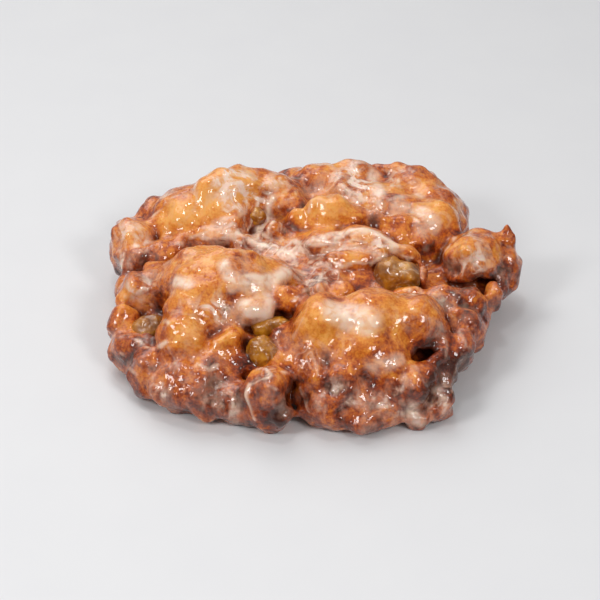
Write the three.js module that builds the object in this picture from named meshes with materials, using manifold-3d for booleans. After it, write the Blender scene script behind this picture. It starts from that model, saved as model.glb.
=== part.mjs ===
import * as THREE from 'three';
import { mergeVertices } from 'three/addons/utils/BufferGeometryUtils.js';
import Module from 'manifold-3d';

// A glazed apple fritter: one craggy fried dough with cooked apple chunks pressed into its top.
// Millimetres, +Z up, the front edge towards -Y, resting on z = 0.

// Driving sizes
const FORM_BLEND = 1.3; // rounding where two broad forms run together
const KNOB_BLEND = 0.9; // the same for knobs, nubs and small folds
const HOLLOW_BLEND = 0.9; // rounding at the lip of a hollow
const BLEND_REACH = 8; // a lobe further off than this many blends doesn't count
const WARPS = [[0.9, 24, 0.4], [0.6, 11, 2.1]]; // slow bending of every lobe: reach, wavelength, phase
const WARP_UP_SHARE = 0.7; // lobes bend less up and down than sideways
const RELIEFS = [[0.5, 13, 0.9], [0.3, 7.5, 3.3]]; // rounded crags of the crust: height, wavelength, phase
const CALM_FROM = 17; // above this height the crags fade
const CALM_OVER = 12;
const CALM_SHARE = 0.7; // share of the crags lost at the top
const UNDERSIDE_WAVE = 31; // spacing of the shallow dents in the underside
const UNDERSIDE_DEPTH = 2.6;
const UNDERSIDE_REST = 1.5; // dents shallower than this rest on the table
const CHUNK_GAP = 0.42; // clearance between an apple chunk and its pocket
const CHUNK_SQUARENESS = 2.8; // 2 would be an ellipsoid, larger is boxier
const CHUNK_WAVE = 1.7; // spacing of the dents in a chunk, in half-lengths
const CHUNK_DENT = 0.05; // their depth as a share of the chunk's size

// Each lobe: centre x, y, z, then its half-lengths, then its turn about +Z in degrees.
// Broad forms run softly into each other.
const FORMS = rows({
  core: [0, -3, 9, 52, 40, 12.5, 0],
  core_back: [4, 24, 10, 46, 28, 12, 0],
  core_top: [5, 18, 14, 34, 26, 9.5, 0],
  centre_chunk: [6, 25, 26, 9.5, 6.5, 8, -8],
  chunk_face: [0, 23, 22, 6, 4, 6, 0],
  ridge_cream: [3, 12, 22, 9, 6, 6.5, 0],
  ridge_arch: [17, 11, 23.5, 11, 6, 6.5, -8],
  valley_fill: [8, 1, 17, 14, 8, 6, 0],
  ridge_mid: [-28, 37, 22, 17, 11, 14, 25],
  ridge_left: [-43, 33, 18.5, 13, 11, 12, 25],
  ridge_right: [-13, 39, 21, 9, 8, 10, 0],
  ridge_front: [-38, 27, 16.5, 15, 9, 11, 10],
  ridge_apron: [-29, 27, 20, 9, 6, 7, 15],
  left_knob: [-60.8, 23, 14, 8.5, 11, 11.5, 0],
  left_fill: [-50, 0, 12, 9, 9, 11, 0],
  left_fill_back: [-48, 16, 12, 10, 8, 9, 0],
  twin_back: [-9, 33, 23, 6.5, 5, 6, 0],
  upper_right: [40, 26, 19, 8.5, 10, 11.5, 0],
  shoulder: [42.2, 38, 18, 9, 8.5, 10.5, 0],
  back_right: [33, 46, 19.5, 12, 8, 9, 0],
  back_long: [13, 51, 21, 12, 6, 9, 0],
  back_mid: [2, 49, 22.5, 7, 6, 7, 0],
  back_small: [-8, 53, 20, 6, 4, 5, 0],
  back_fill_left: [-4, 44, 20.5, 8, 8, 7, 0],
  back_saddle: [10, 43, 22, 9, 8, 6.5, 0],
  back_valley: [20, 38, 21.5, 12, 8, 7, 0],
  white_saddle: [29, 33, 22, 9, 6, 6.5, 0],
  dome: [-28, -9, 18, 20, 15, 17, 5],
  dome_top: [-39, -4, 19, 12, 11, 13, 10],
  dome_right: [-15, -5, 19, 10, 9, 11, 0],
  dome_slope: [-36, -19, 16.5, 12, 10, 14, 0],
  drape: [-41, -29, 13.5, 9, 9, 12, 0],
  drape_right: [-26, -29.5, 14.5, 7, 7, 8, 0],
  drape_low: [-32, -37, 10.5, 8, 6.5, 8, 0],
  left_cheek: [-58.5, -5, 15, 5.5, 6.5, 10, 0],
  heel_left: [-57.5, -22, 7.5, 7.5, 8, 9, 0],
  heel_right: [-42, -40, 7.5, 8, 7, 9, 0],
  toe_left: [-34, -42.5, 7, 7.5, 7, 8.2, 0],
  nose: [-13, -47, 9, 8.5, 8, 11, 0],
  mid_valley: [-8, -30, 12, 6, 8, 9, 0],
  right_dome_left: [2, -27, 17, 10, 11.5, 15, 0],
  right_dome_middle: [17, -25.5, 19.5, 15, 12, 13, 0],
  right_dome_right: [31, -24.5, 19.5, 11, 9, 10.5, 0],
  right_dome_front: [15, -33, 14.5, 14, 10, 13, 0],
  belly: [22, -40, 12, 7, 8, 10, 0],
  belly_left: [10, -41.5, 10, 8, 9, 11, 0],
  belly_far: [0, -38, 10.5, 6.5, 8, 10.5, 0],
  belly_right: [31, -42, 9.5, 6, 7, 9, 0],
  low_left: [4, -47, 6, 8, 6, 7, 0],
  low_middle: [15, -49, 5.5, 9, 6, 6.5, 0],
  low_right: [25, -46, 6.5, 6, 6, 7, 0],
  arm: [40, -13, 19, 8, 5.5, 7, 0],
  right_lobe: [49.5, 7, 18.8, 8, 7.8, 10, 0],
  right_lobe_back: [53, 15, 16, 8, 8, 9.5, 0],
  bulge: [62.6, 12, 13, 6.3, 8, 8.5, 0],
  back_right_fill: [31, 40, 21.5, 8, 6, 5.5, 0],
  lobe_fill: [44, 14, 11, 7, 8, 7.5, 0],
  lobe_bridge: [55, 11.5, 18.5, 7.5, 6.5, 7.5, 0],
  pit_floor: [-52.5, -12.5, 6, 7.5, 7, 7, 0],
  left_gap: [-55.5, 8, 8, 5.5, 5, 7, 0],
  lobe_face: [56, 7, 20.5, 5.5, 5, 4.5, 0],
});
// Knobs, nubs and small folds keep their own outline
const KNOBS = rows({
  chunk_brown: [14, 23, 24.5, 5, 4, 5, 0],
  chunk_nub: [20, 23, 27, 2.3, 2.3, 3.2, 0],
  nub_slope: [23, 21, 24, 3.2, 3, 4, 0],
  ridge_nub_left: [9, 2.5, 24, 4.2, 3.2, 3.8, 0],
  ridge_nub_middle: [15, 3.5, 24.5, 3.8, 3.2, 3.8, 0],
  ridge_nub_right: [21, 5, 24, 4, 3.2, 3.6, 0],
  valley_left: [-1, -3, 20, 5, 4, 4, 0],
  amber_nub_left: [2, -10, 21, 3.6, 3, 3.8, 0],
  amber_nub_middle: [9, -10, 21, 3.6, 3, 3.6, 0],
  amber_nub_right: [20, -14, 22, 4.5, 3, 4, 0],
  collar_back: [29, 6, 24.5, 5.5, 2.6, 3.2, -25],
  collar_right: [34.8, -2, 21.5, 2.1, 4.8, 4.2, 0],
  collar_front: [29, -11, 21, 5.5, 2.8, 3.4, 0],
  ridge_end_left: [-18, 39, 26, 3.6, 4, 5, 0],
  ridge_end_right: [-10.5, 39, 25.5, 3.4, 4, 5.5, 0],
  left_knob_top: [-55, 37, 17, 5.5, 5.5, 5.5, 0],
  left_knob_low: [-62, 7, 8, 4, 4.5, 6.5, 0],
  left_knob_nub: [-58, 13, 17, 4, 4, 5, 0],
  left_crumb: [-51, 13, 17, 6, 5, 5.5, 0],
  left_crumb_right: [-45, 15, 19, 3.5, 3.5, 4, 0],
  left_fold: [-35, 18.5, 20, 10, 3.6, 4.6, -3],
  fold_upper: [-31, 23, 22.5, 9, 3, 3.8, 6],
  fold_lower: [-21, 16, 18.5, 8, 4, 5, -12],
  twin_knob_left: [-13, 18.5, 23.5, 3.4, 3.6, 4.8, 0],
  twin_knob_right: [-6, 24, 24, 3.8, 4, 5.4, 0],
  brown_lobe: [29, 20.5, 23, 5, 5, 6, 0],
  upper_right_left: [35.5, 19, 20, 4.5, 5.5, 7.5, 0],
  upper_right_lip: [37, 15, 17.5, 7.5, 4.5, 7.5, 0],
  shoulder_edge: [48.8, 38, 14, 4.2, 7, 8.5, 0],
  back_sausage: [31, 50, 26.8, 10, 2.6, 2.8, -22],
  back_nub: [41, 53, 20, 2.6, 3.4, 3.4, 0],
  dome_nub_left: [-25, -4.5, 31, 3, 2.6, 3.2, 0],
  dome_nub_right: [-19.5, -4, 30, 3, 2.4, 3, 0],
  dome_side: [-28, -21, 19, 4.6, 4.2, 7, 0],
  left_wall: [-61, -15, 12, 4, 4, 8, 0],
  left_ledge: [-53, -25, 10.5, 7, 4, 5, 0],
  left_tip: [-62.8, -16, 14.5, 2.4, 1.8, 2, 0],
  heel_middle: [-51, -33, 7.5, 7, 7, 8.5, 0],
  toe_right: [-25, -45, 6.5, 7, 7, 7.8, 0],
  nose_top: [-15, -45, 13, 6, 5, 7.5, 0],
  nose_left: [-20, -46, 7, 4, 6, 8, 0],
  nub_row_left: [-10, -18, 25, 4, 3.5, 4, 0],
  nub_row_right: [-4, -15.5, 24.5, 3.8, 3.5, 4, 0],
  white_mound: [-18.6, -22, 23.5, 5, 4, 4.6, 0],
  mound_back: [-19, -14, 24.5, 5.5, 4, 4.5, 0],
  chunk_cover: [-7, -26, 18, 5, 4.5, 5, 0],
  low_toe: [32, -50, 3.5, 3, 3, 3.8, 0],
  edge_toe: [39, -45, 6, 4.5, 5, 6.5, 0],
  crag_front: [39, -37, 11, 5, 5, 7, 0],
  crag_inner: [34, -40, 13, 3.6, 4, 5, 0],
  crag_middle: [45, -29, 12.5, 5.5, 5.5, 7.5, 0],
  crag_upper: [39, -29.5, 16, 5.5, 5, 6, 0],
  crag_back: [49, -20, 13, 5, 5.5, 7, 0],
  crag_top: [45, -20, 17, 4.5, 4.5, 5.5, 0],
  crag_far: [53, -12, 14, 4.5, 5, 6, 0],
  arm_right: [48, -10, 16.5, 6.5, 4.8, 6, 0],
  fin: [58, -6, 16.5, 3.4, 4, 5.5, 0],
  cave_base: [51.5, -1, 7.5, 5.5, 6, 6.5, 0],
  bulge_front: [60, 4, 12, 5, 4, 5.5, 0],
  tip_ridge: [57, 17, 22, 7, 2.6, 3, -4],
  tip: [61.5, 16.5, 22, 3, 2.2, 3.4, -15],
  tip_point: [64.3, 18, 24.5, 1.5, 1.4, 2.8, 0],
  fin_base: [56, -2.5, 10, 3.2, 3.5, 4.5, 0],
});
// Pits, caves and gaps, cut softly out of the lobes
const HOLLOWS = rows({
  right_hole: [32.8, -31, 15.8, 2.6, 6, 2.7, 0],
  right_hole_side: [34.6, -30.5, 15.2, 1.8, 5, 1.9, 0],
  right_cave: [50.5, 0.5, 15, 6, 4.5, 2.8, 0],
  cave_right: [58, 4, 14, 3.5, 4, 2.4, 0],
  left_pit: [-52.5, -17.5, 19.5, 5.8, 5, 5.8, 0],
  front_cleft: [-6, -47, 12, 1.6, 5, 7, 0],
  groove_left: [-33, 8.5, 22, 9, 2.6, 4.5, 0],
  beside_front_chunk: [-21, -33, 20, 2, 4, 5, 0],
  arm_gap: [42, 2, 23, 4, 4, 5, 0],
});

// Apple chunks: centre, half-lengths and turns about x, y and z in degrees
const CHUNKS = {
  apple_chunk_centre: { at: [27, -2, 21.8], half: [7.4, 5.8, 5.2], turn: [-18, 8, -12] },
  apple_chunk_front: { at: [-16, -33.5, 17], half: [4.6, 4.2, 4.4], turn: [-25, 10, 20] },
  apple_chunk_front_upper: { at: [-13.5, -24.8, 20], half: [6.3, 2.8, 2.8], turn: [-10, -6, 10] },
  apple_chunk_left: { at: [-52.5, -18.5, 13], half: [5.4, 4.4, 4.4], turn: [15, -20, 30] },
  apple_chunk_back: { at: [-19, 28, 23], half: [3.2, 2.8, 3.2], turn: [20, 15, -25] },
};

// The rays that find the surface start on a flat disc inside the dough and fan out from it
const FAN = [54, 44, 20]; // half-lengths of the pillow whose normals the rays follow
const FAN_HEIGHT = 10;
const FAN_DETAIL = 13; // subdivision of the sphere of rays
const FAN_TOP_SHARE = 0.3; // moves rays from the flat underside to the top
const FAN_REACH = 70;
const FAN_STRIDE = 0.3; // shortest stride inwards along a ray
const FAN_HALVINGS = 16; // halvings of the last stride
const SOFT_STAGES = [3, 2.4, 1.9, 1.5, 1.1, 0.8, 0.5, 0.3, 0.15, 0, 0, 0]; // softness, from smooth to true
const SKIN_PASSES = 3;
const LAST_PASSES = 4;
const SWAP_ANGLE = 3.3; // two opposite angles that together exceed this ask for the other diagonal
const POINT_LIMIT = 65536; // more than the skin has points
const FACE_LIMIT = 9900; // triangles of the skin before the chunks' pockets are cut
const SAG = 0.12; // a side this far off the surface at its middle is halved
const SAG_SHARE = 0.4; // extra allowance while the skin is still soft
const SIDE_SHORTEST = 1.7;
const SIDE_LONGEST = 6;
const FLAT_BELOW = 0.3;
const SKIN_DRIFT = 0.4; // share of the way to the neighbours' middle in one pass
const SKIN_STEP = 1.5; // longest step onto the surface
const SLOPE_STEP = 0.05; // spacing of the samples that measure a slope
const SLOPE_FLOOR = 0.25; // keeps a step short where the slope is almost flat
const TABLE_SNAP = 0.03; // points this near the table are set on it
const CHUNK_DETAIL = 3;

function rows(table) {
  return Object.values(table).map(([x, y, z, a, b, c, turn]) => {
    const angle = THREE.MathUtils.degToRad(turn);
    return { x, y, z, a, b, c, cos: Math.cos(angle), sin: Math.sin(angle), reach: Math.max(a, b, c) };
  });
}

// A smooth, repeating noise that is the same in every direction
function swirl(x, y, z, wavelength, phase) {
  const scale = 2 * Math.PI / wavelength;
  const u = (0.36 * x + 0.48 * y - 0.8 * z) * scale + phase;
  const v = (-0.8 * x + 0.6 * y) * scale + 2 * phase;
  const w = (0.48 * x + 0.64 * y + 0.6 * z) * scale + 3 * phase;
  return (Math.sin(u) * Math.cos(v) + Math.sin(v) * Math.cos(w) + Math.sin(w) * Math.cos(u)) / 1.5;
}

function warp([x, y, z]) {
  const moved = [x, y, z];
  for (const [reach, wave, phase] of WARPS) {
    moved[0] += reach * swirl(x, y, z, wave, phase);
    moved[1] += reach * swirl(y, z, x, wave, phase + 1);
    moved[2] += WARP_UP_SHARE * reach * swirl(z, x, y, wave, phase + 2);
  }
  return moved;
}

// Near-distance to an ellipsoid, negative inside
function ellipsoid(dx, dy, dz, lobe) {
  const u = lobe.cos * dx + lobe.sin * dy;
  const v = lobe.cos * dy - lobe.sin * dx;
  const k0 = Math.hypot(u / lobe.a, v / lobe.b, dz / lobe.c);
  const k1 = Math.hypot(u / lobe.a ** 2, v / lobe.b ** 2, dz / lobe.c ** 2);
  return k0 * (k0 - 1) / Math.max(k1, 1e-9);
}

// Smooth union of ellipsoids: lobes further off than a few blends are skipped
function union([x, y, z], lobes, blend) {
  const far = BLEND_REACH * blend;
  let sum = 0;
  for (const lobe of lobes) {
    const dx = x - lobe.x;
    const dy = y - lobe.y;
    const dz = z - lobe.z;
    if (Math.hypot(dx, dy, dz) - lobe.reach < far) sum += Math.exp(-ellipsoid(dx, dy, dz, lobe) / blend);
  }
  return sum > 0 ? Math.min(far, -blend * Math.log(sum)) : far;
}

// Union of two near-distances with a rounded seam
function joined(first, second, blend) {
  return Math.min(first, second) - blend * Math.log1p(Math.exp(-Math.abs(first - second) / blend));
}

// Positive outside the dough, negative inside, close to a distance near the surface.
// Extra softness rounds the lobes into each other.
function dough(point, softness) {
  const [x, y, z] = point;
  const bent = warp(point);
  const forms = union(bent, FORMS, FORM_BLEND + softness);
  const knobs = union(bent, KNOBS, KNOB_BLEND + softness);
  const solid = joined(forms, knobs, KNOB_BLEND + softness);
  const hollow = union(bent, HOLLOWS, HOLLOW_BLEND + softness);
  let value = -joined(-solid, hollow, HOLLOW_BLEND + softness);
  const fade = 1 - CALM_SHARE * THREE.MathUtils.clamp((z - CALM_FROM) / CALM_OVER, 0, 1);
  for (const [height, wave, phase] of RELIEFS) {
    value -= height * fade * swirl(x, y, z, wave, phase);
  }
  const dent = Math.max(0, UNDERSIDE_DEPTH * swirl(x, y, 0, UNDERSIDE_WAVE, 1.3) - UNDERSIDE_REST);
  return Math.max(value, dent - z);
}

// Closed sphere of merged vertices, whose points serve as directions
function directions(detail) {
  const sphere = new THREE.IcosahedronGeometry(1, detail);
  sphere.deleteAttribute('normal');
  sphere.deleteAttribute('uv');
  return mergeVertices(sphere, 1e-5);
}

// Outermost crossing of the softened dough along one ray
function crossing(start, ray) {
  const at = (t) => [start.x + t * ray.x, start.y + t * ray.y, start.z + t * ray.z];
  let outer = FAN_REACH;
  let inner = outer;
  let value = dough(at(outer), SOFT_STAGES[0]);
  while (value > 0 && inner > 0) {
    outer = inner;
    inner = Math.max(0, outer - Math.max(FAN_STRIDE, value / 2));
    value = dough(at(inner), SOFT_STAGES[0]);
  }
  for (let step = 0; step < FAN_HALVINGS; step += 1) {
    const middle = (outer + inner) / 2;
    if (dough(at(middle), SOFT_STAGES[0]) > 0) outer = middle;
    else inner = middle;
  }
  return at(inner);
}

// A closed skin around the softened dough, one vertex for each ray
function softSkin() {
  const geometry = directions(FAN_DETAIL);
  const spot = geometry.attributes.position;
  const [a, b, c] = FAN;
  for (let i = 0; i < spot.count; i += 1) {
    const rise = spot.getZ(i);
    const lifted = rise + FAN_TOP_SHARE * (1 - rise * rise);
    const spread = Math.sqrt((1 - lifted * lifted) / Math.max(1 - rise * rise, 1e-12));
    const x = spot.getX(i) * spread;
    const y = spot.getY(i) * spread;
    const start = new THREE.Vector3(x * (a - c * c / a), y * (b - c * c / b), FAN_HEIGHT);
    const ray = new THREE.Vector3(x / a, y / b, lifted / c).normalize();
    spot.setXYZ(i, ...crossing(start, ray));
  }
  return geometry;
}

// Place of the next corner of the same triangle
function following(place) {
  return place % 3 === 2 ? place - 2 : place + 1;
}

function neighbourLists(corners, count) {
  const lists = Array.from({ length: count }, () => []);
  corners.forEach((corner, i) => lists[corner].push(corners[following(i)]));
  return lists;
}

function angleAt(tip, first, second) {
  return first.clone().sub(tip).angleTo(second.clone().sub(tip));
}

function facing(a, b, c) {
  return b.clone().sub(a).cross(c.clone().sub(a));
}

// Every directed side of the skin and its place among the corners
function sidePlaces(corners) {
  const places = new Map();
  corners.forEach((corner, i) => places.set(sideName(corner, corners[following(i)]), i));
  return places;
}

function sideName(from, to) {
  return from * POINT_LIMIT + to;
}

// Gives each pair of neighbouring triangles the diagonal that makes them less thin
function swapDiagonals(corners, points) {
  const places = sidePlaces(corners);
  for (let i = 0; i < corners.length; i += 1) {
    const [a, b, c] = [corners[i], corners[following(i)], corners[following(following(i))]];
    const j = places.get(sideName(b, a));
    const d = corners[following(following(j))];
    const [pa, pb, pc, pd] = [points[a], points[b], points[c], points[d]];
    if (a > b || places.has(sideName(c, d)) || places.has(sideName(d, c))) continue;
    if (angleAt(pc, pa, pb) + angleAt(pd, pa, pb) < SWAP_ANGLE) continue;
    if (facing(pa, pd, pc).dot(facing(pd, pb, pc)) <= 0) continue;
    places.delete(sideName(a, b));
    places.delete(sideName(b, a));
    corners[following(i)] = d;
    corners[following(j)] = c;
    places.set(sideName(a, d), i);
    places.set(sideName(d, c), following(i));
    places.set(sideName(b, c), j);
    places.set(sideName(c, d), following(j));
  }
}

// Halves the sides that cut off most of a bend, while there are triangles to spare
function splitSides(corners, points, softness) {
  const places = sidePlaces(corners);
  const worst = [];
  corners.forEach((a, i) => {
    const b = corners[following(i)];
    const length = points[a].distanceTo(points[b]);
    if (a > b || length < SIDE_SHORTEST) return;
    const middle = points[a].clone().lerp(points[b], 0.5);
    const sag = middle.z < FLAT_BELOW ? 0 : Math.abs(dough(middle.toArray(), softness));
    const need = Math.max(sag / (SAG + SAG_SHARE * softness), length / SIDE_LONGEST);
    if (need > 1) worst.push({ a, b, middle, need });
  });
  worst.sort((first, second) => second.need - first.need);
  const touched = new Set();
  for (const { a, b, middle } of worst) {
    const i = places.get(sideName(a, b));
    const j = places.get(sideName(b, a));
    const faces = [Math.floor(i / 3), Math.floor(j / 3)];
    if (corners.length / 3 > FACE_LIMIT || faces.some((face) => touched.has(face))) continue;
    faces.forEach((face) => touched.add(face));
    const c = corners[following(following(i))];
    const d = corners[following(following(j))];
    const m = points.push(middle) - 1;
    corners[following(i)] = m;
    corners[following(j)] = m;
    corners.push(m, b, c, m, a, d);
  }
}

function slope([x, y, z], softness, value) {
  return new THREE.Vector3(
    dough([x + SLOPE_STEP, y, z], softness) - value,
    dough([x, y + SLOPE_STEP, z], softness) - value,
    dough([x, y, z + SLOPE_STEP], softness) - value,
  ).divideScalar(SLOPE_STEP);
}

// One step of every point: along the surface towards the middle of its neighbours, then back onto it
function settle(corners, points, softness) {
  const lists = neighbourLists(corners, points.length);
  const drifts = points.map((point, i) => {
    const mean = lists[i].reduce((sum, k) => sum.add(points[k]), new THREE.Vector3());
    return mean.divideScalar(lists[i].length).sub(point);
  });
  points.forEach((point, i) => {
    let value = dough(point.toArray(), softness);
    const normal = slope(point.toArray(), softness, value).normalize();
    point.addScaledVector(drifts[i].addScaledVector(normal, -drifts[i].dot(normal)), SKIN_DRIFT);
    value = dough(point.toArray(), softness);
    const rise = slope(point.toArray(), softness, value);
    const steepness = Math.max(rise.lengthSq(), SLOPE_FLOOR);
    const step = THREE.MathUtils.clamp(value / steepness, -SKIN_STEP, SKIN_STEP);
    point.addScaledVector(rise, -step);
  });
}

// The skin follows the dough as its lobes sharpen and gains triangles where it bends
function doughGeometry() {
  const soft = softSkin();
  const corners = Array.from(soft.index.array);
  const spot = soft.attributes.position;
  const points = Array.from({ length: spot.count }, (_, i) => (
    new THREE.Vector3().fromBufferAttribute(spot, i)
  ));
  for (const softness of SOFT_STAGES) {
    for (let pass = 0; pass < SKIN_PASSES; pass += 1) {
      swapDiagonals(corners, points);
      settle(corners, points, softness);
    }
    splitSides(corners, points, softness);
  }
  for (let pass = 0; pass < LAST_PASSES; pass += 1) {
    swapDiagonals(corners, points);
    settle(corners, points, 0);
  }
  points.forEach((point) => {
    if (point.z < TABLE_SNAP) point.z = 0;
  });
  const geometry = new THREE.BufferGeometry().setFromPoints(points);
  geometry.setIndex(corners);
  return geometry;
}

// A soft-edged block with a slightly uneven face, like a cube of cooked apple
function chunkGeometry(half, phase, grow) {
  const geometry = directions(CHUNK_DETAIL);
  const spot = geometry.attributes.position;
  const [a, b, c] = half.map((length) => length + grow);
  for (let i = 0; i < spot.count; i += 1) {
    const d = new THREE.Vector3().fromBufferAttribute(spot, i);
    const n = CHUNK_SQUARENESS;
    const norm = Math.abs(d.x / a) ** n + Math.abs(d.y / b) ** n + Math.abs(d.z / c) ** n;
    const dent = CHUNK_DENT * swirl(d.x, d.y, d.z, CHUNK_WAVE, phase);
    d.multiplyScalar(norm ** (-1 / n) * (1 + dent));
    spot.setXYZ(i, d.x, d.y, d.z);
  }
  return geometry;
}

const wasm = await Module();
wasm.setup();

function toSolid(geometry) {
  const vertProperties = Float32Array.from(geometry.attributes.position.array);
  const triVerts = Uint32Array.from(geometry.index.array);
  return new wasm.Manifold(new wasm.Mesh({ numProp: 3, vertProperties, triVerts }));
}

function toGeometry(solid) {
  const { vertProperties, triVerts } = solid.getMesh();
  const geometry = new THREE.BufferGeometry();
  geometry.setAttribute('position', new THREE.BufferAttribute(vertProperties, 3));
  geometry.setIndex(new THREE.BufferAttribute(triVerts, 1));
  geometry.computeVertexNormals();
  return geometry;
}

const crust = new THREE.MeshStandardMaterial({ color: 0xb57a4a, roughness: 0.35, metalness: 0 });
const apple = new THREE.MeshStandardMaterial({ color: 0x9a7d2c, roughness: 0.3, metalness: 0 });
crust.name = 'crust';
apple.name = 'apple';

// Apple chunks, and the dough cut back around them
const fritter = new THREE.Group();
let body = toSolid(doughGeometry());
Object.entries(CHUNKS).forEach(([name, { at, half, turn }], index) => {
  const chunk = new THREE.Mesh(chunkGeometry(half, index, 0), apple);
  chunk.name = name;
  chunk.position.set(...at);
  chunk.rotation.set(...turn.map(THREE.MathUtils.degToRad));
  chunk.geometry.computeVertexNormals();
  chunk.updateMatrix();
  body = body.subtract(toSolid(chunkGeometry(half, index, CHUNK_GAP).applyMatrix4(chunk.matrix)));
  fritter.add(chunk);
});
const doughMesh = new THREE.Mesh(toGeometry(body), crust);
doughMesh.name = 'dough';
fritter.add(doughMesh);

// The origin is the centre of the bounding box, on the table
doughMesh.geometry.computeBoundingBox();
const box = doughMesh.geometry.boundingBox;
fritter.position.set(-(box.min.x + box.max.x) / 2, -(box.min.y + box.max.y) / 2, 0);

export default fritter;
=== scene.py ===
"""Looks of a glazed apple fritter: crust, sugar glaze, apple chunks, pale floor and soft light."""
import math

import bmesh
import bpy
import numpy as np
from mathutils import Euler, Matrix, Vector, noise

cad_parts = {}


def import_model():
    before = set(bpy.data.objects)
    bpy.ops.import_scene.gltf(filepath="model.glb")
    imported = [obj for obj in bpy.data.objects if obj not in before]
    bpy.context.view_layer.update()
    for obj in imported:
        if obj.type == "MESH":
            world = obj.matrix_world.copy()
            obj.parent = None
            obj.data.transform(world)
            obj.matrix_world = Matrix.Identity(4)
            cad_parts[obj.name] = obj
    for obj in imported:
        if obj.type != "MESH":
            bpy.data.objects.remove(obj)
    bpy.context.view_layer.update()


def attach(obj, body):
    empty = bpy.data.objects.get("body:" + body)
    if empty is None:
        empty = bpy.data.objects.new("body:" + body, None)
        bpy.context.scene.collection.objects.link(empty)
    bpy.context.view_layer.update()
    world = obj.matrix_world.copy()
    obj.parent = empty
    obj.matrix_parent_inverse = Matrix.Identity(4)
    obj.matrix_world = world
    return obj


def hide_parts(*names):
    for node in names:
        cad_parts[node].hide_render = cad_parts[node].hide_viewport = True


# Shape of the dough in millimetres, the same lobes as the solid
FORM_BLEND = 1.3
KNOB_BLEND = 0.9
HOLLOW_BLEND = 0.9
BLEND_REACH = 8
WARPS = ((0.9, 24, 0.4), (0.6, 11, 2.1))
WARP_UP_SHARE = 0.7
RELIEFS = ((0.5, 13, 0.9), (0.3, 7.5, 3.3))
CALM_FROM = 17
CALM_OVER = 12
CALM_SHARE = 0.7
UNDERSIDE_WAVE = 31
UNDERSIDE_PHASE = 1.3
UNDERSIDE_DEPTH = 2.6
UNDERSIDE_REST = 1.5
GRID_STEP = 0.73
GRID_LOW = (-76, -64, -2)
GRID_HIGH = (76, 64, 42)

# Limits that keep the sums finite
TINY = 1e-9
TINIEST = 1e-30
POWER_LIMIT = 60

# Each lobe: centre x, y, z, then its half-lengths, then any turn about +Z in degrees.
# Broad forms run softly into each other.
FORMS = dict(
    core=(0, -3, 9, 52, 40, 12.5),
    core_back=(4, 24, 10, 46, 28, 12),
    core_top=(5, 18, 14, 34, 26, 9.5),
    centre_chunk=(6, 25, 26, 9.5, 6.5, 8, -8),
    chunk_face=(0, 23, 22, 6, 4, 6),
    ridge_cream=(3, 12, 22, 9, 6, 6.5),
    ridge_arch=(17, 11, 23.5, 11, 6, 6.5, -8),
    valley_fill=(8, 1, 17, 14, 8, 6),
    ridge_mid=(-28, 37, 22, 17, 11, 14, 25),
    ridge_left=(-43, 33, 18.5, 13, 11, 12, 25),
    ridge_right=(-13, 39, 21, 9, 8, 10),
    ridge_front=(-38, 27, 16.5, 15, 9, 11, 10),
    ridge_apron=(-29, 27, 20, 9, 6, 7, 15),
    left_knob=(-60.8, 23, 14, 8.5, 11, 11.5),
    left_fill=(-50, 0, 12, 9, 9, 11),
    left_fill_back=(-48, 16, 12, 10, 8, 9),
    twin_back=(-9, 33, 23, 6.5, 5, 6),
    upper_right=(40, 26, 19, 8.5, 10, 11.5),
    shoulder=(42.2, 38, 18, 9, 8.5, 10.5),
    back_right=(33, 46, 19.5, 12, 8, 9),
    back_long=(13, 51, 21, 12, 6, 9),
    back_mid=(2, 49, 22.5, 7, 6, 7),
    back_small=(-8, 53, 20, 6, 4, 5),
    back_fill_left=(-4, 44, 20.5, 8, 8, 7),
    back_saddle=(10, 43, 22, 9, 8, 6.5),
    back_valley=(20, 38, 21.5, 12, 8, 7),
    white_saddle=(29, 33, 22, 9, 6, 6.5),
    dome=(-28, -9, 18, 20, 15, 17, 5),
    dome_top=(-39, -4, 19, 12, 11, 13, 10),
    dome_right=(-15, -5, 19, 10, 9, 11),
    dome_slope=(-36, -19, 16.5, 12, 10, 14),
    drape=(-41, -29, 13.5, 9, 9, 12),
    drape_right=(-26, -29.5, 14.5, 7, 7, 8),
    drape_low=(-32, -37, 10.5, 8, 6.5, 8),
    left_cheek=(-58.5, -5, 15, 5.5, 6.5, 10),
    heel_left=(-57.5, -22, 7.5, 7.5, 8, 9),
    heel_right=(-42, -40, 7.5, 8, 7, 9),
    toe_left=(-34, -42.5, 7, 7.5, 7, 8.2),
    nose=(-13, -47, 9, 8.5, 8, 11),
    mid_valley=(-8, -30, 12, 6, 8, 9),
    right_dome_left=(2, -27, 17, 10, 11.5, 15),
    right_dome_middle=(17, -25.5, 19.5, 15, 12, 13),
    right_dome_right=(31, -24.5, 19.5, 11, 9, 10.5),
    right_dome_front=(15, -33, 14.5, 14, 10, 13),
    belly=(22, -40, 12, 7, 8, 10),
    belly_left=(10, -41.5, 10, 8, 9, 11),
    belly_far=(0, -38, 10.5, 6.5, 8, 10.5),
    belly_right=(31, -42, 9.5, 6, 7, 9),
    low_left=(4, -47, 6, 8, 6, 7),
    low_middle=(15, -49, 5.5, 9, 6, 6.5),
    low_right=(25, -46, 6.5, 6, 6, 7),
    arm=(40, -13, 19, 8, 5.5, 7),
    right_lobe=(49.5, 7, 18.8, 8, 7.8, 10),
    right_lobe_back=(53, 15, 16, 8, 8, 9.5),
    bulge=(62.6, 12, 13, 6.3, 8, 8.5),
    back_right_fill=(31, 40, 21.5, 8, 6, 5.5),
    lobe_fill=(44, 14, 11, 7, 8, 7.5),
    lobe_bridge=(55, 11.5, 18.5, 7.5, 6.5, 7.5),
    pit_floor=(-52.5, -12.5, 6, 7.5, 7, 7),
    left_gap=(-55.5, 8, 8, 5.5, 5, 7),
    lobe_face=(56, 7, 20.5, 5.5, 5, 4.5),
)

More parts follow.
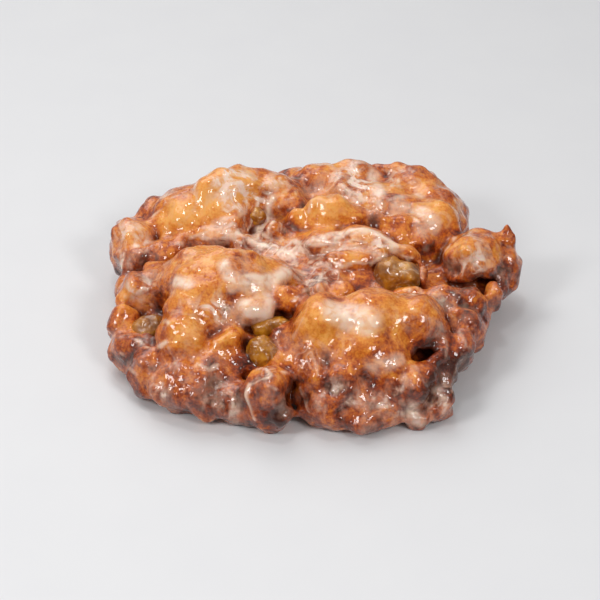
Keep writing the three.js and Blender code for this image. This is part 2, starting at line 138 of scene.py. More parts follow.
# Knobs, nubs and small folds keep their own outline
KNOBS = dict(
    chunk_brown=(14, 23, 24.5, 5, 4, 5),
    chunk_nub=(20, 23, 27, 2.3, 2.3, 3.2),
    nub_slope=(23, 21, 24, 3.2, 3, 4),
    ridge_nub_left=(9, 2.5, 24, 4.2, 3.2, 3.8),
    ridge_nub_middle=(15, 3.5, 24.5, 3.8, 3.2, 3.8),
    ridge_nub_right=(21, 5, 24, 4, 3.2, 3.6),
    valley_left=(-1, -3, 20, 5, 4, 4),
    amber_nub_left=(2, -10, 21, 3.6, 3, 3.8),
    amber_nub_middle=(9, -10, 21, 3.6, 3, 3.6),
    amber_nub_right=(20, -14, 22, 4.5, 3, 4),
    collar_back=(29, 6, 24.5, 5.5, 2.6, 3.2, -25),
    collar_right=(34.8, -2, 21.5, 2.1, 4.8, 4.2),
    collar_front=(29, -11, 21, 5.5, 2.8, 3.4),
    ridge_end_left=(-18, 39, 26, 3.6, 4, 5),
    ridge_end_right=(-10.5, 39, 25.5, 3.4, 4, 5.5),
    left_knob_top=(-55, 37, 17, 5.5, 5.5, 5.5),
    left_knob_low=(-62, 7, 8, 4, 4.5, 6.5),
    left_knob_nub=(-58, 13, 17, 4, 4, 5),
    left_crumb=(-51, 13, 17, 6, 5, 5.5),
    left_crumb_right=(-45, 15, 19, 3.5, 3.5, 4),
    left_fold=(-35, 18.5, 20, 10, 3.6, 4.6, -3),
    fold_upper=(-31, 23, 22.5, 9, 3, 3.8, 6),
    fold_lower=(-21, 16, 18.5, 8, 4, 5, -12),
    twin_knob_left=(-13, 18.5, 23.5, 3.4, 3.6, 4.8),
    twin_knob_right=(-6, 24, 24, 3.8, 4, 5.4),
    brown_lobe=(29, 20.5, 23, 5, 5, 6),
    upper_right_left=(35.5, 19, 20, 4.5, 5.5, 7.5),
    upper_right_lip=(37, 15, 17.5, 7.5, 4.5, 7.5),
    shoulder_edge=(48.8, 38, 14, 4.2, 7, 8.5),
    back_sausage=(31, 50, 26.8, 10, 2.6, 2.8, -22),
    back_nub=(41, 53, 20, 2.6, 3.4, 3.4),
    dome_nub_left=(-25, -4.5, 31, 3, 2.6, 3.2),
    dome_nub_right=(-19.5, -4, 30, 3, 2.4, 3),
    dome_side=(-28, -21, 19, 4.6, 4.2, 7),
    left_wall=(-61, -15, 12, 4, 4, 8),
    left_ledge=(-53, -25, 10.5, 7, 4, 5),
    left_tip=(-62.8, -16, 14.5, 2.4, 1.8, 2),
    heel_middle=(-51, -33, 7.5, 7, 7, 8.5),
    toe_right=(-25, -45, 6.5, 7, 7, 7.8),
    nose_top=(-15, -45, 13, 6, 5, 7.5),
    nose_left=(-20, -46, 7, 4, 6, 8),
    nub_row_left=(-10, -18, 25, 4, 3.5, 4),
    nub_row_right=(-4, -15.5, 24.5, 3.8, 3.5, 4),
    white_mound=(-18.6, -22, 23.5, 5, 4, 4.6),
    mound_back=(-19, -14, 24.5, 5.5, 4, 4.5),
    chunk_cover=(-7, -26, 18, 5, 4.5, 5),
    low_toe=(32, -50, 3.5, 3, 3, 3.8),
    edge_toe=(39, -45, 6, 4.5, 5, 6.5),
    crag_front=(39, -37, 11, 5, 5, 7),
    crag_inner=(34, -40, 13, 3.6, 4, 5),
    crag_middle=(45, -29, 12.5, 5.5, 5.5, 7.5),
    crag_upper=(39, -29.5, 16, 5.5, 5, 6),
    crag_back=(49, -20, 13, 5, 5.5, 7),
    crag_top=(45, -20, 17, 4.5, 4.5, 5.5),
    crag_far=(53, -12, 14, 4.5, 5, 6),
    arm_right=(48, -10, 16.5, 6.5, 4.8, 6),
    fin=(58, -6, 16.5, 3.4, 4, 5.5),
    cave_base=(51.5, -1, 7.5, 5.5, 6, 6.5),
    bulge_front=(60, 4, 12, 5, 4, 5.5),
    tip_ridge=(57, 17, 22, 7, 2.6, 3, -4),
    tip=(61.5, 16.5, 22, 3, 2.2, 3.4, -15),
    tip_point=(64.3, 18, 24.5, 1.5, 1.4, 2.8),
    fin_base=(56, -2.5, 10, 3.2, 3.5, 4.5),
)

# Pits, caves and gaps, cut softly out of the lobes
HOLLOWS = dict(
    right_hole=(32.8, -31, 15.8, 2.6, 6, 2.7),
    right_hole_side=(34.6, -30.5, 15.2, 1.8, 5, 1.9),
    right_cave=(50.5, 0.5, 15, 6, 4.5, 2.8),
    cave_right=(58, 4, 14, 3.5, 4, 2.4),
    left_pit=(-52.5, -17.5, 19.5, 5.8, 5, 5.8),
    front_cleft=(-6, -47, 12, 1.6, 5, 7),
    groove_left=(-33, 8.5, 22, 9, 2.6, 4.5),
    beside_front_chunk=(-21, -33, 20, 2, 4, 5),
    arm_gap=(42, 2, 23, 4, 4, 5),
)

# Apple chunks: centre, half-lengths, turns about x, y and z in degrees, colour (darker below zero)
CHUNKS = dict(
    apple_chunk_centre=((27, -2, 21.8), (7.4, 5.8, 5.2), (-18, 8, -12), -0.55),
    apple_chunk_front=((-16, -33.5, 17), (4.6, 4.2, 4.4), (-25, 10, 20), 0.1),
    apple_chunk_front_upper=((-13.5, -24.8, 20), (6.3, 2.8, 2.8), (-10, -6, 10), -0.3),
    apple_chunk_left=((-52.5, -18.5, 13), (5.4, 4.4, 4.4), (15, -20, 30), -0.2),
    apple_chunk_back=((-19, 28, 23), (3.2, 2.8, 3.2), (20, 15, -25), -0.3),
)
CHUNK_SQUARENESS = 2.8
CHUNK_WAVE = 1.7
CHUNK_DENT = 0.05
CHUNK_DETAIL = 5
CHUNK_FIBRE_STRETCH = (1, 1, 0.35)

# Grains of a chunk: wavelength, octaves, shift, how far apart the chunks' noises lie, height in mm
CHUNK_GRAINS = dict(
    ripple=(4.4, 3, 8, 20, 0.4),
    fibre=(1.3, 2, 3, 9, 0.1),
    crease=(5, 1, 2, 40, 1),
)

# Fine relief of the crust in millimetres: wavelength and height of the crumbs at three sizes
CRUMBS = ((9, 1.2), (5, 0.6), (2.6, 0.3))
RIDGE_MEAN = 0.28
BLISTER_SPACING = 3.4
BLISTER_HEIGHT = 0.2
BLISTER_EDGE = 0.4
EVEN_ROUGHNESS = 0.3
CREASE_ROUGHNESS = 0.6
BROWN_ROUGHNESS = 1.3
PALE_CALM = 0.5
BROWN_ABOVE = 0.36
BROWN_LIMIT = 0.5
PALE_BELOW = 0.34
ROUGHNESS_LIMITS = (0.2, 1.1)
RELIEF_FULL_ABOVE = 2

# Blends of the softer lobes that tell how deep a place lies in a crease or a fold
CREASE_BLEND = 2
FOLD_BLEND = 6

# Where each mark on the dough starts and where it is full
MARK_SPANS = dict(
    crease=(1.2, 3.4),
    broad_fold=(8, 15),
    hollow=(0.4, 2.2),
    low=(0, 0.35),
    high=(0.05, 0.45),
    flow=(17, 24),
    rim=(-7, -1.5),
    rim_patch=(-0.2, 0.3),
    # Back-facing slopes, which get a painted sheen
    painted_sheen_side=(0.3, 0.8),
    far_patch=(-0.25, 0.25),
)
# Shares of the crease, the broad fold and the hollow in the fold mark, which paints shade into the
# crust
CREASE_SHARE = 0.4
BROAD_FOLD_SHARE = 0.35
HOLLOW_SHARE = 0.7
# Painted sheen: whitish film on slopes that face the back light
PAINTED_SHEEN_FILM = 0.6

# Neighbour averaging: rounds and weight
SMOOTHINGS = dict(
    grid=(1, 0.35),
    level=(11, 0.6),
    broad_level=(41, 0.9),
    height=(2, 0.6),
    pool=(2, 0.5),
    thread=(1, 0.4),
    film=(4, 0.55),
)

# Browning of the crust, 0 pale gold to 1 dark brown. The paler up-facing crowns are partly real
# browning and partly painted light from above, and some spots are painted shade.
TOAST_OF_FLANKS = 0.665
# Painted light, in part: how much paler the high, up-facing crowns are
CROWN_PALENESS_AND_LIGHT = 0.3
TOAST_OF_PATCHES = 0.12
# How strongly the spots brown the crust; some of the spots are painted shade
SPOT_TOAST_AND_SHADE = 0.7
CROWN_HEIGHT = 32
CROWN_TILT = 0.25

# Glaze: millimetres for its thickness and the bumps under it, shares for the rest
POOL_THICKNESS = 0.4
THREAD_THICKNESS = 0.28
GLAZE_FULL_ABOVE = 1.5
STROKE_FULL = 0.1
STROKE_END = 1.35
POOL_WANDER = 0.3
POOL_EDGE = 0.25
POOL_LEVELLING = 0.95
GLAZE_OFF_BUMPS = 0.35
BUMP_FULL = 0.3
DEEPEST_BUMP = -0.6
THREAD_WANDER = 0.9
THREAD_WIDTH = 1.3

# Thick glaze: a stroke's reach in mm, its amount, then x and y of each pixel that it runs through
GLAZE_STROKES = dict(
    front_left=(3.3, 1.2, 222, 262, 226, 273, 240, 278, 258, 277, 276, 277, 287, 270),
    front_left_low=(3, 0.8, 232, 286, 250, 288, 268, 284),
    front_left_patch=(3.2, 1, 174, 281, 187, 283),
    white_mound=(5.4, 1.2, 243, 308, 254, 314, 268, 312),
    white_mound_top=(2.6, 0.7, 256, 296, 268, 293),
    right_front=(5.6, 1.1, 334, 308, 350, 314, 370, 318),
    right_front_low=(3.2, 0.8, 350, 324, 368, 328),
    belly_cap=(3.4, 0.75, 368, 366, 384, 362, 400, 358),
    belly_side=(2.2, 0.75, 404, 378, 410, 386),
    hole_rim=(2, 0.6, 416, 366, 420, 376),
    centre_band=(2.2, 1, 302, 243, 318, 238, 334, 232, 350, 228),
    centre_band_right=(2.6, 1, 352, 230, 370, 228, 386, 238, 396, 250),
    centre_band_low=(1.8, 0.65, 330, 252, 342, 246, 360, 246, 382, 256),
    left_valley=(2.4, 1, 270, 198, 266, 212, 260, 226, 254, 238),
    left_valley_low=(1.9, 0.75, 250, 238, 262, 245, 274, 250, 290, 255),
    left_valley_right=(1.6, 0.6, 286, 246, 300, 250, 308, 244),
    apron=(1.9, 0.75, 220, 220, 236, 216, 246, 210),
    fold=(1.8, 0.8, 176, 241, 184, 243),
    fold_top=(1.5, 0.55, 204, 227, 222, 228, 238, 234),
    upper_right_patch=(4.2, 0.9, 376, 210, 396, 205, 420, 210, 434, 220),
    upper_right=(2.2, 0.65, 418, 222, 424, 236, 426, 250),
    back_band=(3.2, 0.9, 374, 172, 379, 186, 378, 204),
    back_wash=(3, 0.5, 326, 172, 346, 174, 366, 182),
    back_right_patch=(2.4, 0.8, 400, 196, 420, 194),
    back_left_drop=(2, 0.6, 330, 184, 342, 188),
    shoulder_rim=(1.3, 0.75, 460, 206, 466, 218, 470, 230),
    right_lobe_wash=(3.6, 0.35, 456, 262, 470, 268, 484, 258),
    chunk_rim=(1.2, 0.85, 404, 288, 414, 292, 418, 284),
    cheek=(1.8, 0.7, 147, 280, 144, 290, 140, 302),
    ledge_rim=(0.9, 0.8, 140, 343, 150, 346, 158, 345),
    nose_rim=(1.4, 0.6, 258, 378, 246, 384, 243, 394, 248, 410, 252, 420),
    nose_top_rim=(1, 0.8, 256, 376, 264, 384, 276, 386),
    drape_drop=(2, 0.45, 212, 352, 206, 364),
    arm_wash=(3, 0.35, 436, 300, 452, 304, 462, 314),
    arm_rim=(1.3, 0.5, 462, 318, 470, 330, 474, 344),
    crag_rim=(1.6, 0.35, 470, 342, 466, 356, 458, 372),
    low_drips=(2.4, 0.45, 372, 404, 392, 410, 408, 406),
    toe_drip=(3.4, 0.95, 414, 408, 418, 420, 423, 426),
    edge_drip=(2.4, 0.85, 438, 388, 444, 398, 448, 406),
    low_left_drip=(2, 0.4, 166, 402, 170, 410),
    low_wash=(2.4, 0.4, 232, 402, 236, 412, 240, 416),
    cleft_rim=(1.2, 0.6, 300, 392, 304, 404, 308, 412),
    # Painted highlight: ridge_glint whitens a stroke where the ridge shines, and raises it like the
    # glaze
    ridge_glint=(2.4, 0.45, 232, 186, 244, 182),
    left_knob_wash=(3.6, 0.4, 120, 238, 132, 236, 140, 246),
    chunk_rim_right=(1.3, 0.75, 421, 266, 424, 278, 421, 290),
)

# Thin creased lines of glaze, written the same way
GLAZE_THREADS = dict(
    valley_a=(0.8, 1, 240, 232, 252, 238, 264, 245, 278, 248, 290, 254, 296, 264),
    valley_b=(0.6, 0.95, 250, 228, 262, 235, 276, 241, 288, 250),
    valley_c=(0.7, 0.9, 284, 246, 290, 240, 300, 243, 308, 240),
    valley_d=(0.5, 0.7, 282, 220, 284, 230, 284, 240),
    fold_a=(0.5, 0.6, 183, 244, 194, 238, 206, 229, 220, 226),
    fold_b=(0.5, 0.7, 200, 238, 216, 240, 232, 237, 240, 242),
    fold_c=(0.5, 0.7, 228, 232, 240, 234, 250, 240, 262, 248),
    ridge_left=(0.6, 0.6, 152, 214, 160, 208, 164, 200),
    ridge_crest=(0.6, 0.5, 170, 196, 190, 188, 212, 178, 236, 172),
    chunk_side=(0.5, 0.6, 306, 212, 310, 200, 314, 194),
    chunk_top=(0.6, 0.7, 346, 196, 358, 202, 368, 210, 372, 220),
    chunk_top_low=(0.5, 0.6, 350, 190, 362, 198, 376, 206),
    arch_a=(0.9, 0.9, 336, 236, 350, 230, 366, 228, 384, 236, 396, 246),
    arch_b=(0.5, 0.6, 346, 246, 360, 242, 372, 246, 380, 254),
    nub_front=(0.45, 0.6, 346, 268, 356, 262, 366, 266, 378, 262),
    centre_collar=(0.6, 0.7, 374, 264, 384, 256, 400, 256, 410, 260),
    centre_rim=(0.7, 0.85, 407, 262, 410, 276, 408, 290, 400, 296),
    valley_front_a=(0.7, 0.8, 296, 300, 306, 290, 318, 280, 322, 272),
    valley_front_b=(0.5, 0.4, 300, 318, 296, 330, 290, 338),
    right_edge=(0.6, 0.8, 457, 200, 464, 212, 470, 226),
    right_pocket=(0.6, 0.7, 452, 236, 446, 246, 440, 258, 434, 270),
    lobe_rim=(0.6, 0.6, 462, 232, 474, 236, 484, 240),
    pit_rim=(0.6, 0.8, 138, 338, 146, 345, 158, 347, 164, 341),
    pit_top=(0.5, 0.7, 152, 306, 158, 316, 166, 322),
    cheek_edge=(0.5, 0.5, 124, 300, 118, 312, 114, 322),
    drape_a=(0.5, 0.45, 166, 348, 172, 358, 176, 368),
    drape_b=(0.5, 0.6, 210, 330, 214, 342, 208, 350),
    drape_c=(0.6, 0.7, 196, 362, 210, 368, 220, 362),
    nose_a=(0.6, 0.85, 268, 376, 256, 380, 247, 386, 244, 396, 248, 408, 252, 420),
    nose_b=(0.6, 0.8, 262, 378, 268, 386, 278, 388),
    nose_c=(0.5, 0.7, 256, 366, 264, 368, 272, 374),
    nose_d=(0.5, 0.7, 284, 370, 296, 372, 300, 364),
    cleft_a=(0.5, 0.4, 308, 356, 316, 364, 320, 374),
    cleft_b=(0.6, 0.6, 298, 386, 302, 400, 306, 412),
    crag_a=(0.5, 0.5, 452, 318, 460, 330, 466, 342, 462, 356),
    crag_b=(0.5, 0.4, 470, 344, 464, 360, 458, 374, 454, 390),
    crag_c=(0.5, 0.4, 444, 334, 450, 344, 448, 356),
    arm_edge=(0.5, 0.6, 432, 300, 440, 310, 450, 318),
    belly_a=(0.7, 0.35, 366, 404, 380, 408, 392, 414),
    belly_b=(0.7, 0.35, 402, 404, 410, 410, 424, 404),
    low_a=(0.6, 0.5, 118, 352, 126, 366, 134, 374),
    valley_e=(0.6, 0.9, 262, 198, 258, 212, 252, 224, 246, 232),
    valley_f=(0.6, 0.9, 276, 206, 272, 220, 268, 232, 270, 242),
    valley_g=(0.6, 0.9, 286, 252, 294, 246, 304, 246, 312, 238),
    back_a=(0.5, 0.7, 318, 188, 330, 192, 344, 188, 356, 192),
    back_b=(0.5, 0.7, 352, 180, 362, 186, 372, 184, 384, 188),
    upper_a=(0.5, 0.7, 386, 214, 398, 210, 410, 212, 420, 220),
    valley_h=(0.6, 0.4, 228, 244, 242, 248, 258, 250, 272, 256),
    valley_i=(0.5, 0.7, 300, 262, 314, 266, 328, 262, 340, 268),
    valley_j=(0.5, 0.7, 296, 276, 310, 280, 326, 276, 338, 280),
    band_edge=(0.6, 0.8, 306, 246, 322, 244, 338, 240, 352, 238, 366, 240),
)

# Browning of the crust: pixel x and y, reach in mm, then how much browner, or paler below zero. The
# spots in the hole, the cave, the cleft and the crease under the left fold are painted shade.
CRUST_SPOTS = dict(
    ridge_gold=(200, 208, 16, -0.4),
    ridge_gold_left=(166, 222, 11, -0.45),
    ridge_crest=(245, 180, 12, -0.35),
    front_left_gold=(205, 268, 15, -0.25),
    front_left_gold_low=(168, 300, 11, -0.2),
    drape_gold=(188, 335, 12, -0.4),
    drape_gold_right=(228, 348, 8, -0.3),
    right_front_gold=(415, 322, 14, -0.2),
    right_front_gold_mid=(370, 335, 14, -0.2),
    right_front_gold_left=(312, 322, 13, -0.4),
    centre_chunk_gold=(325, 208, 12, -0.6),
    shoulder_gold=(442, 205, 11, -0.35),
    back_right_gold=(412, 184, 9, -0.35),
    back_mid_gold=(318, 176, 8, -0.35),
    centre_front_gold=(355, 257, 6, -0.4),
    left_knob_red=(130, 255, 11, 0.15),
    left_heel_red=(130, 350, 10, 0.2),
    front_heel_red=(170, 380, 12, 0.15),
    front_toe_red=(215, 395, 10, 0.35),
    nose_red=(272, 405, 10, 0.35),
    belly_red=(385, 390, 10, -0.1),
    crag_red=(455, 365, 16, 0.7),
    right_lobe_red=(470, 280, 9, 0.1),
    bulge_red=(508, 275, 10, 0.55),
    arm_red=(450, 300, 10, 0.45),
    upper_right_brown=(425, 248, 7, 0.25),
    twin_brown=(290, 228, 6, 0.3),
    sausage_red=(396, 168, 7, 0.35),
    back_small_red=(285, 170, 6, 0.3),
    fold_brown=(192, 242, 5, 0.3),
    # Painted shade: the cave, the hole and the cleft made dark brown
    cave_painted_shade=(469, 286, 5, 0.5),
    hole_painted_shade=(421, 351, 5, 0.9),
    cleft_painted_shade=(291, 392, 6, 0.5),
    right_front_gold_low=(330, 350, 9, -0.25),
    twin_gold=(300, 215, 5, -0.35),
    arm_gold=(455, 245, 6, -0.2),
    cheek_gold=(130, 300, 8, -0.5),
    right_lobe_gold=(462, 248, 10, -0.35),
    corner_brown=(430, 400, 11, 0.45),
    ridge_crest_gold=(215, 180, 14, -0.25),
    mound_gold=(256, 300, 8, -0.3),
    drape_brown=(214, 372, 7, 0.25),
    low_front_brown=(340, 400, 10, 0.15),
    # Painted shade: the narrow crease under the left fold made browner
    left_cave_painted_shade=(240, 254, 4, 0.3),
    sausage_red_end=(418, 172, 7, 0.4),
    right_front_side=(424, 330, 10, 0.15),
    twin_gold_left=(276, 226, 4, -0.2),
    left_knob_gold=(125, 235, 10, -0.4),
    back_brown=(318, 186, 6, 0.25),
    back_brown_right=(392, 196, 5, 0.2),
    valley_brown=(310, 280, 9, 0.1),
    ridge_top_gold=(235, 176, 12, -0.35),
    middle_brown=(305, 285, 9, 0.12),
    dome_crown_gold=(200, 262, 12, -0.02),
    right_front_crown_gold=(400, 312, 10, -0.2),
    fold_gold=(200, 232, 6, -0.25),
    band_brown=(352, 240, 9, 0.2),
    back_mid_brown=(355, 188, 10, 0.15),
    left_valley_brown=(262, 238, 9, 0.15),
    dome_pool_edge=(222, 252, 7, -0.15),
)

# Wrinkled skin of half-dry glaze: pixel, reach in mm, strength
WRINKLE_SPOTS = dict(
    left_valley=(240, 240, 7, 0.9),
    left_valley_right=(272, 246, 7, 0.9),
    left_valley_back=(262, 214, 5, 0.7),
    middle=(312, 282, 9, 1),
    middle_front=(298, 312, 7, 0.45),
    under_ridge=(338, 272, 7, 0.8),
    ridge=(350, 240, 8, 0.7),
    ridge_right=(385, 250, 7, 0.7),
    back=(335, 190, 9, 0.7),
    back_right=(378, 192, 8, 0.7),
    cleft=(306, 360, 8, 0.8),
    nose=(268, 368, 6, 0.7),
    beside_left=(268, 342, 6, 0.6),
    dome_slope=(232, 318, 8, 0.25),
    upper_right=(424, 262, 6, 0.6),
    left_pit=(150, 330, 6, 0.6),
)

# Broad milky film: pixel, reach in mm, strength, or less of it below zero
FILM_SPOTS = dict(
    left_knob=(128, 240, 16, 0.9),
    left_knob_low=(122, 268, 8, 0.8),
    ridge_crest_left=(185, 182, 14, 0.75),
    ridge_crest=(235, 174, 15, 0.8),
    ridge_right=(262, 192, 10, 0.7),
    ridge_front=(240, 208, 10, 0.7),
    apron=(225, 226, 9, 0.7),
    valley=(256, 240, 12, 0.75),
    valley_right=(288, 252, 10, 0.8),
    dome_middle=(222, 300, 10, 0.4),
    dome_low=(205, 312, 8, 0.3),
    cheek=(140, 294, 9, 0.9),
    heel=(122, 352, 11, 0.6),
    heel_front=(165, 385, 14, 0.75),
    toe=(225, 402, 12, 0.8),
    nose=(262, 402, 6, 0.25),
    mound=(256, 305, 8, 0.5),
    beside_chunk=(282, 345, 7, 0.4),
    right_front_low=(350, 408, 14, 0.6),
    right_front_corner=(400, 405, 11, 0.95),
    corner_drip=(440, 402, 10, 0.95),
    crag_edge=(465, 365, 10, 0.1),
    crag_middle=(445, 330, 7, 0.3),
    arm=(440, 300, 8, 0.4),
    right_lobe=(474, 264, 9, 0.85),
    bulge=(506, 262, 9, 0.35),
    upper_right=(425, 240, 8, -0.3),
    upper_right_low=(425, 236, 8, 0.3),
    back_right=(395, 178, 13, 0.7),
    back=(350, 172, 15, 0.75),
    back_left=(290, 178, 9, 0.6),
    centre=(318, 244, 11, 0.8),
    centre_right=(385, 240, 10, 0.8),
    front_valley=(318, 275, 10, 0.6),
    back_saddle=(366, 190, 12, 0.7),
    dome_slope=(216, 305, 8, 0.5),
    belly=(388, 385, 7, -0.4),
    nubs=(300, 262, 7, 0.5),
    belly_side=(408, 378, 8, 0.6),
    right_front_flank=(335, 385, 11, 0.45),
    right_front_edge=(310, 408, 9, 0.5),
    crag_upper=(440, 345, 7, 0.2),
    ridge_top_milk=(228, 172, 9, 0.5),
    left_pit_clear=(146, 322, 5, -0.4),
    crag_side=(450, 340, 10, -0.3),
    right_lobe_low=(476, 272, 6, 0.6),
    right_lobe_left=(452, 272, 7, 0.6),
)

# Camera of the photograph, in the lobes' own millimetres
ELEVATION = math.radians(39)
DISTANCE = 520.0
FOCAL = 3.07 * DISTANCE
TARGET = np.array([0.0, 0.0, 16.0])
TARGET_PIXEL = (314.0, 286.0)
PICTURE_SIZE = 600
SENSOR_WIDTH = 36
PIXEL_REACH = 3
PIXEL_SLACK = 1

# Lights in metres: place, what they point at, size, energy
LIGHTS = dict(
    window=((-0.26, 0.42, 0.62), (0, 0, 0), 0.55, 2.08),
    lamp=((-0.05, 0.10, 0.80), (0, 0, 0), 0.09, 0.55),
    side=((-0.45, -0.30, 0.50), (0, 0, 0.01), 0.18, 1.55),
    front=((0.36, -0.40, 0.52), (0, 0, 0.01), 0.18, 1.65),
)
SKY_SIDE = (-0.25, 0.45, 0.86)
SKY_LOW = 0.1
SKY_HIGH = 0.59
SKY_FROM = -0.1
FLOOR_SIZE = 3

# Colours, sRGB 0 to 255
CRUST_RAMP = (
    (0, (238, 166, 80)),
    (0.2, (226, 142, 50)),
    (0.4, (206, 110, 28)),
    (0.6, (165, 69, 12)),
    (0.8, (114, 37, 6)),
    (1, (64, 20, 4)),
)
# Painted shade: deep brown for the folds, creases and hollows
PAINTED_FOLD_SHADE = (84, 28, 3)
TROUGH_BROWN = (96, 44, 10)
FLANK_MILK = (228, 174, 146)
CROWN_MILK = (234, 200, 172)
FILM_MILK = (242, 212, 192)
THICK_MILK = (246, 220, 198)
APPLE_RAMP = (
    (0.1, (112, 56, 2)),
    (0.38, (156, 94, 10)),
    (0.6, (188, 122, 20)),
    (0.9, (220, 162, 52)),
)
APPLE_MILK = (226, 205, 180)
FLOOR_GREYS = ((216, 216, 218), (220, 220, 221))

# Noises of the materials: scale per metre, detail, roughness, distortion
NOISES = dict(
    mottle=(150, 4, 0.6, 0.6),
    speck=(600, 3, 0.6, 0),
    dust=(1200, 1, 0.6, 0),
    wrinkle=(100, 1, 0.5, 0.4),
    streak=(170, 4, 0.55, 1.2),
    drip=(230, 3, 0.5, 0.4),
    broad_cloud=(80, 2, 0.5, 0),
    fine_cloud=(420, 3, 0.55, 0.6),
    pool=(260, 3, 0.5, 0.8),
    grit=(700, 4, 0.65, 0),
    dimple=(620, 1, 0.5, 0),
    broad_dimple=(280, 1, 0.5, 0.5),
    fine_dimple=(1200, 0, 0.5, 0),
    apple_color=(200, 3, 0.55, 0.6),
    apple_film=(190, 4, 0.6, 1.5),
    apple_grain=(500, 4, 0.6, 0.5),
    apple_wave=(260, 3, 0.5, 0.5),
    floor=(40, 2, 0.55, 0),
)
DRIP_STRETCH = (1, 1, 0.5)

# Smooth steps of the materials: from, to, then the values there where they aren't 0 and 1
SPANS = dict(
    mottle_by_toast=(0.2, 0.6, 1.1, 1.8),
    # shade_in_fold: how strongly the fold mark paints shade into the crust
    shade_in_fold=(0.15, 0.8, 0, 0.85),
    brown_in_trough=(-0.9, 0, 0.4, 0),
    streaky=(0.43, 0.6),
    soft=(0.41, 0.68),
    broad=(0.4, 0.6),
    fine=(0.36, 0.6, 0.6, 1),
    film_in_fold=(0.12, 0.6, 1, 0),
    crest=(0.45, 0.98),
    crest_in_fold=(0.3, 0.9, 1, 0.2),
    milky=(0.3, 0.9),
    pool=(0.3, 0.6, 0.5, 1),
    pebble=(0, 0.7, 1, 0),
    grit_in_glaze=(0.2, 0.8, 1, 0.15),
    grit_in_zone=(0.15, 0.8, 0.35, 1.1),
    wet_in_zone=(0.1, 0.8, 0.6, 1.2),
    rough_in_glaze=(0.1, 0.8, 0.45, 0.3),
    coat_in_fold=(0.3, 0.9, 1, 0.3),
    apple_film=(0.54, 0.68, 0, 0.35),
)
PEBBLE_SCALE = 420
WRINKLE_TURNS = 56

# Shares of noises and marks: in the browning, the film of glaze, the bumps, the apple's colour
SPECK_BROWN = 0.55
DUST_BROWN = 0.3
# Painted shade: how much browner the low places between the bumps are
LOW_PAINTED_SHADE = 0.18
STREAKS_IN_LOWS = 0.05
DRIPS_IN_LOWS = 0.04
EVEN_HAZE = 0.06
CLOUDY_HAZE = 0.95
BROAD_FILM = 0.3
RIM_FILM = 0.35
CREST_FILM = 0.5
POOL_MILK = 0.92
THREAD_MILK = 0.95
PEBBLES = 0.4
BROAD_DIMPLES = 0.8
DIMPLES = 0.3
FINE_DIMPLES = 0.12
CRUST_WRINKLES = 0.22
COAT_WRINKLES = 0.1
APPLE_MEAN = 0.5
APPLE_RIPPLE = 0.25
APPLE_CLOUD = 1.3

# Settings of the shaders that don't vary over the surface
CRUST_SETTINGS = {
    "Subsurface Weight": 0.25,
    "Subsurface Radius": (1, 0.4, 0.15),
    "Subsurface Scale": 0.0025,
    "Specular IOR Level": 0.15,
    "Coat Roughness": 0.07,
}
APPLE_SETTINGS = {
    "Roughness": 0.28,
    "Subsurface Weight": 0.25,
    "Subsurface Radius": (1, 0.7, 0.2),
    "Subsurface Scale": 0.002,
    "Coat Weight": 1,
    "Coat Roughness": 0.05,
}

# Bumps: strength and height in metres
BUMPS = dict(
    crust=(0.6, 0.0009),
    coat=(0.65, 0.0009),
    apple=(0.5, 0.0006),
    apple_coat=(0.35, 0.0006),
)

SEED = Vector((3.1, 7.4, 1.9))
GRAIN_FALLOFF = 0.6
GRAIN_ZOOM = 2


def swirl(x, y, z, wavelength, phase):
    """Smooth repeating noise, the same in every direction."""
    scale = 2 * math.pi / wavelength
    u = (0.36 * x + 0.48 * y - 0.8 * z) * scale + phase
    v = (-0.8 * x + 0.6 * y) * scale + 2 * phase
    w = (0.48 * x + 0.64 * y + 0.6 * z) * scale + 3 * phase
    return (np.sin(u) * np.cos(v) + np.sin(v) * np.cos(w) + np.sin(w) * np.cos(u)) / 1.5


def warped(x, y, z):
    dx, dy, dz = 0, 0, 0
    for reach, wave, phase in WARPS:
        dx = dx + reach * swirl(x, y, z, wave, phase)
        dy = dy + reach * swirl(y, z, x, wave, phase + 1)
        dz = dz + WARP_UP_SHARE * reach * swirl(z, x, y, wave, phase + 2)
    return x + dx, y + dy, z + dz


def ellipsoid(x, y, z, lobe):
    """Near-distance to an ellipsoid, negative inside."""
    cx, cy, cz, a, b, c = lobe[:6]
    turn = math.radians(sum(lobe[6:]))
    cos, sin = math.cos(turn), math.sin(turn)
    dx, dy, dz = x - cx, y - cy, z - cz
    u, v = cos * dx + sin * dy, cos * dy - sin * dx
    k0 = np.sqrt((u / a) ** 2 + (v / b) ** 2 + (dz / c) ** 2)
    k1 = np.sqrt((u / a ** 2) ** 2 + (v / b ** 2) ** 2 + (dz / c ** 2) ** 2)
    return k0 * (k0 - 1) / np.maximum(k1, TINY)


def nearness(bent, lobe, blend):
    """A lobe's share in the smooth union: large inside it, near zero far off."""
    return np.exp(np.clip(-ellipsoid(*bent, lobe) / blend, -POWER_LIMIT, POWER_LIMIT))


def grid_cut(lobe, reach, axis):
    """The grid cells along one axis that a lobe can touch."""
    first = (lobe[axis] - reach - GRID_LOW[axis]) / GRID_STEP
    last = (lobe[axis] + reach - GRID_LOW[axis]) / GRID_STEP
    return slice(max(0, int(first)), max(0, int(last) + 2))


def union_on_grid(bent, lobes, blend):
    """Smooth union of ellipsoids on the grid, each summed inside its own box."""
    total = np.zeros(bent[0].shape)
    far = BLEND_REACH * blend
    for lobe in lobes.values():
        reach = max(lobe[3:6]) + far
        cut = tuple(grid_cut(lobe, reach, axis) for axis in range(3))
        total[cut] += nearness([side[cut] for side in bent], lobe, blend)
    return np.minimum(far, -blend * np.log(np.maximum(total, TINIEST)))


def union_at(points, blend):
    """The same lobes at loose points, all with one blend."""
    bent = warped(*points.T)
    total = np.zeros(len(points))
    for lobe in (*FORMS.values(), *KNOBS.values()):
        total += nearness(bent, lobe, blend)
    return -blend * np.log(np.maximum(total, TINIEST))


